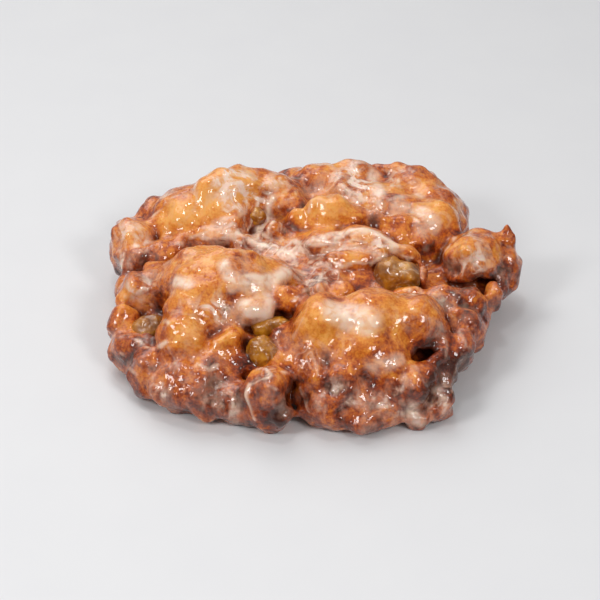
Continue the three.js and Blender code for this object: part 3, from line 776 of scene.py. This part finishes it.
def dough_grid():
    """Near-distance to the dough's surface on the grid, negative inside."""
    axes = [np.arange(GRID_LOW[i], GRID_HIGH[i] + GRID_STEP, GRID_STEP) for i in range(3)]
    x, y, z = np.meshgrid(*axes, indexing="ij", sparse=True)
    bent = warped(x, y, z)
    forms = union_on_grid(bent, FORMS, FORM_BLEND)
    knobs = union_on_grid(bent, KNOBS, KNOB_BLEND)
    solid = -KNOB_BLEND * np.logaddexp(-forms / KNOB_BLEND, -knobs / KNOB_BLEND)
    hollow = union_on_grid(bent, HOLLOWS, HOLLOW_BLEND)
    value = HOLLOW_BLEND * np.logaddexp(solid / HOLLOW_BLEND, -hollow / HOLLOW_BLEND)
    fade = 1 - CALM_SHARE * np.clip((z - CALM_FROM) / CALM_OVER, 0, 1)
    for height, wave, phase in RELIEFS:
        value = value - height * fade * swirl(x, y, z, wave, phase)
    dent = UNDERSIDE_DEPTH * swirl(x, y, 0 * z, UNDERSIDE_WAVE, UNDERSIDE_PHASE) - UNDERSIDE_REST
    return np.maximum(value, np.maximum(0, dent) - z)


def skin(field):
    """One vertex in each grid cell that the surface crosses, and a quad for each crossed grid edge."""
    inside = field < 0
    cells = [n - 1 for n in field.shape]
    count = np.zeros(cells, np.int8)
    corners = [(i, j, k) for i in (0, 1) for j in (0, 1) for k in (0, 1)]
    for i, j, k in corners:
        count += inside[i:i + cells[0], j:j + cells[1], k:k + cells[2]]
    crossed = np.argwhere((count > 0) & (count < 8))
    index = np.full(cells, -1, np.int32)
    index[tuple(crossed.T)] = np.arange(len(crossed))
    total, hits = np.zeros(crossed.shape), np.zeros(len(crossed))
    for corner in corners:
        for axis in range(3):
            if corner[axis]:
                continue
            other = list(corner)
            other[axis] = 1
            fa = field[tuple((crossed + corner).T)]
            fb = field[tuple((crossed + other).T)]
            cross = (fa < 0) != (fb < 0)
            spot = np.tile(np.array(corner, float), (len(crossed), 1))
            spot[:, axis] = np.where(cross, fa / np.where(cross, fa - fb, 1), 0)
            total += spot * cross[:, None]
            hits += cross
    vertices = (crossed + total / hits[:, None]) * GRID_STEP + GRID_LOW
    quads = []
    for axis in range(3):
        u, v = (axis + 1) % 3, (axis + 2) % 3
        first, second = [slice(None)] * 3, [slice(None)] * 3
        first[axis], second[axis] = slice(0, -1), slice(1, None)
        edge = np.argwhere(inside[tuple(first)] != inside[tuple(second)])
        flip = ~inside[tuple(first)][tuple(edge.T)]
        around = []
        for du, dv in ((1, 1), (0, 1), (0, 0), (1, 0)):
            cell = edge.copy()
            cell[:, u] -= du
            cell[:, v] -= dv
            around.append(index[tuple(cell.T)])
        quad = np.stack(around, 1)
        quad[flip] = quad[flip][:, ::-1]
        quads.append(quad)
    return vertices, np.concatenate(quads)


def vertex_normals(points, quads):
    a, b, c, d = points[quads.T]
    face = np.cross(c - a, d - b)
    normals = np.zeros_like(points)
    for k in range(4):
        for axis in range(3):
            normals[:, axis] += np.bincount(quads[:, k], face[:, axis], len(points))
    return normals / np.maximum(np.linalg.norm(normals, axis=1, keepdims=True), TINY)


def smoothed(values, quads, kind):
    """Neighbour averaging along the quads' edges, of points or of one number for each point."""
    rounds, weight = SMOOTHINGS[kind]
    a = quads.T.ravel()
    b = np.roll(quads, -1, axis=1).T.ravel()
    degree = np.bincount(a, minlength=len(values)).astype(float)
    columns = values.reshape(len(values), -1).copy()
    for _ in range(rounds):
        for column in columns.T:
            column += weight * (np.bincount(a, column[b], len(values)) / degree - column)
    return columns.reshape(values.shape)


def heights(offsets, normals):
    """How far each offset goes along its normal."""
    return np.einsum("ij,ij->i", offsets, normals)


def grain(points, wavelength, octaves, shift):
    """Seeded noise at points in mm, about -1 to 1."""
    scale = 1.0 / wavelength
    offset = SEED + Vector((shift, -shift, 2 * shift))
    places = [Vector(point) * scale + offset for point in points.tolist()]
    return np.array([noise.fractal(place, GRAIN_FALLOFF, GRAIN_ZOOM, octaves) for place in places])


def blisters(points, spacing, shift):
    """Distance to the nearest of many scattered points, in units of their spacing."""
    offset = SEED + Vector((shift, shift, -shift))
    return np.array([noise.voronoi(Vector(p) / spacing + offset)[0][0] for p in points.tolist()])


def steps(values, low, high):
    """Smooth step from 0 at low to 1 at high."""
    t = np.clip((values - low) / (high - low), 0, 1)
    return t * t * (3 - 2 * t)


def mark(values, name):
    """The smooth step of one kind of mark."""
    return steps(values, *MARK_SPANS[name])


def to_pixels(points):
    """Where points in mm show in the photograph, and how far they are from its camera."""
    up = np.array([0, math.sin(ELEVATION), math.cos(ELEVATION)])
    ahead = np.array([0, math.cos(ELEVATION), -math.sin(ELEVATION)])
    from_eye = points - (TARGET - DISTANCE * ahead)
    depth = from_eye @ ahead
    u = TARGET_PIXEL[0] + FOCAL * from_eye[:, 0] / depth
    v = TARGET_PIXEL[1] - FOCAL * (from_eye @ up) / depth
    return u, v, depth


class Finder:
    """Finds the place on the dough that a pixel of the photograph shows."""

    def __init__(self, points):
        self.points = points
        self.u, self.v, self.depth = to_pixels(points)

    def at(self, u, v):
        off = np.hypot(self.u - u, self.v - v)
        near = np.nonzero(off < max(PIXEL_REACH, off.min() + PIXEL_SLACK))[0]
        return self.points[near[np.argmin(self.depth[near])]]


def stroke_distance(points, anchors):
    best = np.full(len(points), np.inf)
    for a, b in zip(anchors[:-1], anchors[1:]):
        along = b - a
        t = np.clip((points - a) @ along / max(along @ along, TINY), 0, 1)
        best = np.minimum(best, np.linalg.norm(points - a - t[:, None] * along, axis=1))
    return best


def glaze_reach(points, finder, strokes, wander, widen=1.0):
    """How deep each point lies in the listed strokes of glaze, 0 to 1."""
    amount = np.zeros(len(points))
    drift = grain(points, wavelength=6, octaves=2, shift=5)
    for reach, strength, *pixels in strokes.values():
        reach *= widen
        anchors = [finder.at(u, v) for u, v in zip(pixels[::2], pixels[1::2])]
        off = stroke_distance(points, anchors) + wander * reach * drift
        amount = np.maximum(amount, strength * steps(-off, -STROKE_END * reach, -STROKE_FULL * reach))
    return amount


def spot_sum(points, finder, spots):
    """Sum of the spots' strengths, each fading out with the distance from its pixel's place."""
    total = np.zeros(len(points))
    for u, v, reach, strength in spots.values():
        off = np.linalg.norm(points - finder.at(u, v), axis=1)
        total += strength * steps(-off, -reach, 0)
    return total


def add_object(name, data):
    thing = bpy.data.objects.new(name, data)
    bpy.context.scene.collection.objects.link(thing)
    return thing


def mesh_object(name, points, faces, attributes):
    """A smooth mesh object from millimetres, with point attributes."""
    mesh = bpy.data.meshes.new(name)
    mesh.from_pydata((points / 1000).tolist(), [], faces.tolist())
    mesh.update()
    mesh.polygons.foreach_set("use_smooth", [True] * len(mesh.polygons))
    for key, values in attributes.items():
        layer = mesh.attributes.new(key, "FLOAT", "POINT")
        layer.data.foreach_set("value", np.asarray(values, np.float32))
    return add_object(name, mesh)


def browning_and_shade(points, normals, finder, patch):
    """How brown the crust looks: palest on high, up-facing crowns, which is partly real browning and
    partly painted light from above. It is browner on the flanks and shifted by the spots, of which
    those in the hole, the cave, the cleft and a crease are painted shade.
    """
    rise = np.clip(points[:, 2] / CROWN_HEIGHT, 0, 1)
    facing_up = np.clip(normals[:, 2] + CROWN_TILT, 0, 1)
    toast_and_shade = TOAST_OF_FLANKS - CROWN_PALENESS_AND_LIGHT * rise * facing_up + TOAST_OF_PATCHES * patch
    return np.clip(toast_and_shade + SPOT_TOAST_AND_SHADE * spot_sum(points, finder, CRUST_SPOTS), 0, 1)


def roughness(crease, toast_and_shade):
    """How rough the crust is: most in creases and where it is brown, calm on the pale crowns."""
    brown = np.clip(toast_and_shade - BROWN_ABOVE, 0, BROWN_LIMIT)
    pale = np.clip(PALE_BELOW - toast_and_shade, 0, 1)
    rough = EVEN_ROUGHNESS + CREASE_ROUGHNESS * crease + BROWN_ROUGHNESS * brown
    return np.clip(rough - PALE_CALM * pale, *ROUGHNESS_LIMITS)


def add_crumbs(points, normals, rough_zone):
    """Rounded crumbs with sharp creases between them at three sizes, and small blisters."""
    relief = np.zeros(len(points))
    for number, (wave, height) in enumerate(CRUMBS, 1):
        relief += height * (np.abs(grain(points, wave, 1, number)) - RIDGE_MEAN)
    reach = np.clip(BLISTER_EDGE - blisters(points, BLISTER_SPACING, 4), 0, 1)
    relief += BLISTER_HEIGHT * reach / BLISTER_EDGE
    relief *= rough_zone * np.clip(points[:, 2] / RELIEF_FULL_ABOVE, 0, 1)
    return points + normals * relief[:, None]


def build_dough():
    points, quads = skin(dough_grid())
    points = smoothed(points, quads, "grid")
    finder = Finder(points)
    normals = vertex_normals(points, quads)

    # Deep folds lie well inside a much softer version of the same lobes
    crease = mark(-union_at(points, CREASE_BLEND), "crease")
    broad_fold = mark(-union_at(points, FOLD_BLEND), "broad_fold")

    patch = grain(points, wavelength=14, octaves=2, shift=11)
    # Painted sheen: slopes that face the back, towards the window light, get a whitish film for the
    # window's reflection
    painted_sheen_side = PAINTED_SHEEN_FILM * mark(normals[:, 1], "painted_sheen_side") * mark(patch, "far_patch")
    haze = np.clip(spot_sum(points, finder, FILM_SPOTS) + painted_sheen_side, 0, 1)
    toast_and_shade = browning_and_shade(points, normals, finder, patch)
    rough_zone = roughness(crease, toast_and_shade)
    points = add_crumbs(points, normals, rough_zone)

    # Thick glaze lies in the low places near its strokes, levels them and stands a little proud
    level = smoothed(points, quads, "level")
    height = heights(points - level, normals)
    bump_height = smoothed(height, quads, "height")
    pool = glaze_reach(points, finder, GLAZE_STROKES, POOL_WANDER)
    bump = np.clip(bump_height / BUMP_FULL, DEEPEST_BUMP, 1)
    glaze = np.clip((1 + POOL_EDGE) * pool - POOL_EDGE - GLAZE_OFF_BUMPS * bump, 0, 1)
    thread = glaze_reach(points, finder, GLAZE_THREADS, THREAD_WANDER, THREAD_WIDTH)
    broad_level = smoothed(level, quads, "broad_level")
    hollow = mark(-heights(points - broad_level, normals), "hollow")
    soft_glaze = smoothed(glaze, quads, "pool")
    soft_thread = smoothed(thread, quads, "thread")
    film = smoothed(points, quads, "film")
    points = points + (film - points) * np.clip(POOL_LEVELLING * soft_glaze, 0, 1)[:, None]
    proud = POOL_THICKNESS * soft_glaze + THREAD_THICKNESS * soft_thread
    proud *= np.clip(points[:, 2] / GLAZE_FULL_ABOVE, 0, 1)
    points = points + normals * proud[:, None]
    points[:, 2] = np.maximum(points[:, 2], 0)

    # The fold mark: how deep a place lies in creases, folds and hollows. It paints shade into the
    # crust and thins the film and the coat there.
    fold = CREASE_SHARE * crease + BROAD_FOLD_SHARE * broad_fold + HOLLOW_SHARE * hollow
    attributes = dict(
        glaze=glaze,
        thread=thread,
        low=mark(-height, "low"),
        high=mark(height, "high"),
        toast_and_shade=toast_and_shade,
        fold=np.clip(fold, 0, 1),
        rough_zone=rough_zone,
        haze=haze,
        wrinkle=np.clip(spot_sum(points, finder, WRINKLE_SPOTS), 0, 1),
        flow=mark(points[:, 2], "flow"),
        rim=mark(-points[:, 2], "rim") * mark(patch, "rim_patch"),
    )
    piece = mesh_object("fritter_dough", points, quads, attributes)
    piece.data.materials.append(crust_material(attributes))
    return piece, points


def chunk_points(half, phase):
    """A boxy rounded lump with a few dents: its points, faces and outward directions."""
    form = bmesh.new()
    bmesh.ops.create_icosphere(form, subdivisions=CHUNK_DETAIL, radius=1)
    form.verts.index_update()
    out = np.array([vertex.co[:] for vertex in form.verts])
    faces = np.array([[vertex.index for vertex in face.verts] for face in form.faces])
    form.free()
    norm = sum(np.abs(out / half).T ** CHUNK_SQUARENESS)
    dented = 1 + CHUNK_DENT * swirl(*out.T, CHUNK_WAVE, phase)
    size = norm ** (-1 / CHUNK_SQUARENESS) * dented
    return out * size[:, None], faces, out


def chunk_grain(points, kind, index):
    """The height and the noise of one kind of grain, another one on each chunk."""
    wavelength, octaves, shift, apart, height = CHUNK_GRAINS[kind]
    return height, grain(points + apart * index, wavelength, octaves, shift)


def build_chunk(name, index):
    at, half, turn, tone = CHUNKS[name]
    points, faces, out = chunk_points(half, index)
    height, ripple = chunk_grain(points, "ripple", index)
    relief = height * ripple
    height, crease = chunk_grain(points, "crease", index)
    relief += height * (np.abs(crease) - RIDGE_MEAN)
    height, fibre = chunk_grain(points * CHUNK_FIBRE_STRETCH, "fibre", index)
    relief += height * fibre
    points = points + out * relief[:, None]
    turned = np.array(Euler(np.radians(turn), "XYZ").to_matrix())
    points = points @ turned.T + np.array(at)
    return mesh_object(name + "_look", points, faces, {"ripple": ripple + tone})


def linear(color):
    """sRGB 0 to 255 to the linear colour that a shader takes."""
    parts = []
    for value in color:
        value /= 255
        parts.append(value / 12.92 if value <= 0.04045 else ((value + 0.055) / 1.055) ** 2.4)
    return (*parts, 1.0)


def set_inputs(node, settings):
    for socket, value in settings.items():
        node.inputs[socket].default_value = value


class Nodes:
    """Short helpers for one material's nodes."""

    def __init__(self, name, settings):
        self.material = bpy.data.materials.new(name)
        self.material.use_nodes = True
        self.tree = self.material.node_tree
        self.shader = self.tree.nodes["Principled BSDF"]
        self.place = self.new("TexCoord").outputs["Object"]
        set_inputs(self.shader, settings)

    def new(self, kind):
        return self.tree.nodes.new("ShaderNode" + kind)

    def link(self, source, target):
        self.tree.links.new(source, target)

    def surface(self, source, socket):
        """Drives one of the shader's own sockets."""
        self.link(source, self.shader.inputs[socket])

    def attribute(self, name):
        node = self.new("Attribute")
        node.attribute_name = name
        return node.outputs["Fac"]

    def stretched(self, factors):
        node = self.new("VectorMath")
        node.operation = "MULTIPLY"
        node.inputs[1].default_value = factors
        self.link(self.place, node.inputs[0])
        return node.outputs["Vector"]

    def noise(self, name, place=None):
        """One of the named noises, 0 to 1."""
        node = self.new("TexNoise")
        set_inputs(node, dict(zip(("Scale", "Detail", "Roughness", "Distortion"), NOISES[name])))
        self.link(place or self.place, node.inputs["Vector"])
        return node.outputs["Fac"]

    def swing(self, name):
        """The same noise about zero."""
        return self.math("SUBTRACT", self.noise(name), 0.5)

    def cells(self, scale):
        node = self.new("TexVoronoi")
        set_inputs(node, {"Scale": scale})
        self.link(self.place, node.inputs["Vector"])
        return node.outputs["Distance"]

    def math(self, operation, *values, clamp=False):
        node = self.new("Math")
        node.operation = operation
        node.use_clamp = clamp
        for socket, value in zip(node.inputs, values):
            if isinstance(value, (int, float)):
                socket.default_value = value
            else:
                self.link(value, socket)
        return node.outputs[0]

    def times(self, a, b, clamp=False):
        return self.math("MULTIPLY", a, b, clamp=clamp)

    def add(self, total, part, share, clamp=False):
        """The total plus a share of the part."""
        return self.math("MULTIPLY_ADD", part, share, total, clamp=clamp)

    def span(self, value, name):
        """One of the named smooth steps."""
        node = self.new("MapRange")
        node.interpolation_type = "SMOOTHSTEP"
        set_inputs(node, dict(zip(("From Min", "From Max", "To Min", "To Max"), SPANS[name])))
        self.link(value, node.inputs["Value"])
        return node.outputs["Result"]

    def ramp(self, value, stops):
        node = self.new("ValToRGB")
        elements = node.color_ramp.elements
        while len(elements) < len(stops):
            elements.new(0.5)
        for element, (position, color) in zip(elements, stops):
            element.position = position
            element.color = linear(color)
        self.link(value, node.inputs["Fac"])
        return node.outputs["Color"]

    def mix(self, factor, a, b):
        """Blend of two colours, each an output or an sRGB triple."""
        node = self.new("Mix")
        node.data_type = "RGBA"
        self.link(factor, node.inputs[0])
        for socket, color in ((node.inputs[6], a), (node.inputs[7], b)):
            if isinstance(color, tuple):
                socket.default_value = linear(color)
            else:
                self.link(color, socket)
        return node.outputs[2]

    def bump(self, height, name):
        """One of the named bumps."""
        node = self.new("Bump")
        set_inputs(node, dict(zip(("Strength", "Distance"), BUMPS[name])))
        self.link(height, node.inputs["Height"])
        return node.outputs["Normal"]


def crust_color(n, marks, creases):
    """Golden crowns and red-brown flanks, mottled at three scales. The crowns' paleness is partly
    painted light from above, the deep brown in folds, creases, hollows and low places is painted
    shade, and the wrinkles' troughs are browner.
    """
    toast_and_shade = marks["toast_and_shade"]
    level = n.add(toast_and_shade, n.swing("mottle"), n.span(toast_and_shade, "mottle_by_toast"))
    level = n.add(level, n.swing("speck"), SPECK_BROWN)
    level = n.add(level, n.swing("dust"), DUST_BROWN)
    # Painted shade: low places between the bumps are browner
    level = n.add(level, marks["low"], LOW_PAINTED_SHADE)
    crust = n.ramp(level, CRUST_RAMP)
    # Painted shade: the crust turns deep brown in folds, creases and hollows
    crust = n.mix(n.span(marks["fold"], "shade_in_fold"), crust, PAINTED_FOLD_SHADE)
    troughs = n.times(marks["wrinkle"], n.span(creases, "brown_in_trough"))
    return n.mix(troughs, crust, TROUGH_BROWN)


def film_amount(n, marks, creases):
    """Soft milky film in small patches, more of it in low places and on the crests of wrinkles."""
    fold = marks["fold"]
    lowness = n.math("SUBTRACT", marks["low"], marks["high"])
    streaky = n.span(n.add(n.noise("streak"), lowness, STREAKS_IN_LOWS), "streaky")
    dripping = n.noise("drip", n.stretched(DRIP_STRETCH))
    soft = n.span(n.add(dripping, lowness, DRIPS_IN_LOWS), "soft")
    cloud = n.mix(marks["flow"], soft, streaky)
    broad = n.span(n.noise("broad_cloud"), "broad")
    film = n.times(marks["haze"], n.add(EVEN_HAZE, cloud, CLOUDY_HAZE))
    film = n.add(film, n.times(cloud, broad), BROAD_FILM)
    film = n.add(film, n.times(marks["rim"], cloud), RIM_FILM)
    film = n.times(film, n.span(n.noise("fine_cloud"), "fine"))
    film = n.times(film, n.span(fold, "film_in_fold"), clamp=True)
    crests = n.times(marks["wrinkle"], n.span(creases, "crest"))
    crests = n.times(crests, n.span(fold, "crest_in_fold"))
    return n.add(film, crests, CREST_FILM, clamp=True)


def crust_bumps(n, marks, creases):
    """Gritty crust under the glaze, and softer dimples in the wet coat over it."""
    zone = marks["rough_zone"]
    ridges = n.times(marks["wrinkle"], creases)
    pebbles = n.span(n.cells(PEBBLE_SCALE), "pebble")
    smooth_over = n.span(marks["glaze"], "grit_in_glaze")
    rough = n.add(n.noise("grit"), pebbles, PEBBLES)
    rough = n.times(rough, n.times(smooth_over, n.span(zone, "grit_in_zone")))
    n.surface(n.bump(n.add(rough, ridges, CRUST_WRINKLES), "crust"), "Normal")
    dimples = n.times(n.noise("broad_dimple"), BROAD_DIMPLES)
    dimples = n.add(dimples, n.noise("dimple"), DIMPLES)
    dimples = n.add(dimples, n.noise("fine_dimple"), FINE_DIMPLES)
    wet = n.times(dimples, n.span(zone, "wet_in_zone"))
    n.surface(n.bump(n.add(wet, ridges, COAT_WRINKLES), "coat"), "Coat Normal")


def crust_material(names):
    """Fried crust under a film of glaze, varied by the named attributes of the dough."""
    n = Nodes("glazed_crust", CRUST_SETTINGS)
    marks = {name: n.attribute(name) for name in names}
    glaze, thread, flow = marks["glaze"], marks["thread"], marks["flow"]
    creases = n.math("SINE", n.times(n.noise("wrinkle"), WRINKLE_TURNS))
    film = film_amount(n, marks, creases)
    pool = n.times(glaze, n.span(n.noise("pool"), "pool"))
    thick = n.math("MAXIMUM", n.times(pool, POOL_MILK), n.times(thread, THREAD_MILK))
    veil = n.math("MAXIMUM", film, thick, clamp=True)
    thin_milk = n.mix(flow, FLANK_MILK, CROWN_MILK)
    thin_milk = n.mix(n.span(film, "milky"), thin_milk, FILM_MILK)
    milk = n.mix(n.math("MAXIMUM", pool, thread), thin_milk, THICK_MILK)
    n.surface(n.mix(veil, crust_color(n, marks, creases), milk), "Base Color")
    n.surface(n.span(glaze, "rough_in_glaze"), "Roughness")
    n.surface(n.span(marks["fold"], "coat_in_fold"), "Coat Weight")
    crust_bumps(n, marks, creases)
    return n.material


def apple_material():
    n = Nodes("cooked_apple", APPLE_SETTINGS)
    level = n.add(APPLE_MEAN, n.attribute("ripple"), APPLE_RIPPLE)
    level = n.add(level, n.swing("apple_color"), APPLE_CLOUD)
    film = n.span(n.noise("apple_film"), "apple_film")
    n.surface(n.mix(film, n.ramp(level, APPLE_RAMP), APPLE_MILK), "Base Color")
    n.surface(n.bump(n.noise("apple_grain"), "apple"), "Normal")
    n.surface(n.bump(n.noise("apple_wave"), "apple_coat"), "Coat Normal")
    return n.material


def floor_piece():
    bpy.ops.mesh.primitive_plane_add(size=FLOOR_SIZE)
    floor = bpy.context.object
    floor.name = "floor"
    n = Nodes("pale_floor", {})
    n.surface(n.mix(n.noise("floor"), *FLOOR_GREYS), "Base Color")
    floor.data.materials.append(n.material)


def area_light(name, place, aim, size, energy):
    lamp = bpy.data.lights.new(name, "AREA")
    lamp.energy = energy
    lamp.size = size
    holder = add_object(name, lamp)
    holder.location = place
    holder.rotation_euler = (Vector(aim) - Vector(place)).to_track_quat("-Z", "Y").to_euler()


def add_lights():
    """A white sky, brightest towards one side, and soft lamps."""
    world = bpy.data.worlds.new("soft_room")
    bpy.context.scene.world = world
    world.use_nodes = True
    tree = world.node_tree
    sky = tree.nodes["Background"]
    sky.inputs["Color"].default_value = (1, 1, 1, 1)
    place = tree.nodes.new("ShaderNodeTexCoord")
    toward = tree.nodes.new("ShaderNodeVectorMath")
    toward.operation = "DOT_PRODUCT"
    toward.inputs[1].default_value = SKY_SIDE
    glow = tree.nodes.new("ShaderNodeMapRange")
    set_inputs(glow, {"From Min": SKY_FROM, "To Min": SKY_LOW, "To Max": SKY_HIGH})
    tree.links.new(place.outputs["Generated"], toward.inputs[0])
    tree.links.new(toward.outputs["Value"], glow.inputs["Value"])
    tree.links.new(glow.outputs["Result"], sky.inputs["Strength"])
    for name, light in LIGHTS.items():
        area_light(name, *light)


def add_camera(offset):
    """The photograph's camera, with the dough moved by the offset."""
    eye = bpy.data.cameras.new("camera")
    camera = add_object("camera", eye)
    target = Vector((TARGET + offset) / 1000)
    camera.location = target + Vector((0, -math.cos(ELEVATION), math.sin(ELEVATION))) * DISTANCE / 1000
    camera.rotation_euler = (math.pi / 2 - ELEVATION, 0, 0)
    eye.sensor_width = SENSOR_WIDTH
    eye.lens = SENSOR_WIDTH * FOCAL / PICTURE_SIZE
    eye.shift_x = (PICTURE_SIZE / 2 - TARGET_PIXEL[0]) / PICTURE_SIZE
    eye.shift_y = -(PICTURE_SIZE / 2 - TARGET_PIXEL[1]) / PICTURE_SIZE
    bpy.context.scene.camera = camera
    bpy.context.scene.view_settings.view_transform = "Standard"


def main():
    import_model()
    dough, points = build_dough()
    low, high = points.min(0), points.max(0)
    offset = -(low + high) / 2 * (1, 1, 0)
    pieces = [dough]
    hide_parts("dough")
    apple = apple_material()
    for index, name in enumerate(CHUNKS):
        chunk = build_chunk(name, index)
        chunk.data.materials.append(apple)
        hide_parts(name)
        pieces.append(chunk)
    for piece in pieces:
        piece.data.transform(Matrix.Translation(Vector(offset / 1000)))
        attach(piece, "root")
    floor_piece()
    add_lights()
    add_camera(offset)


main()
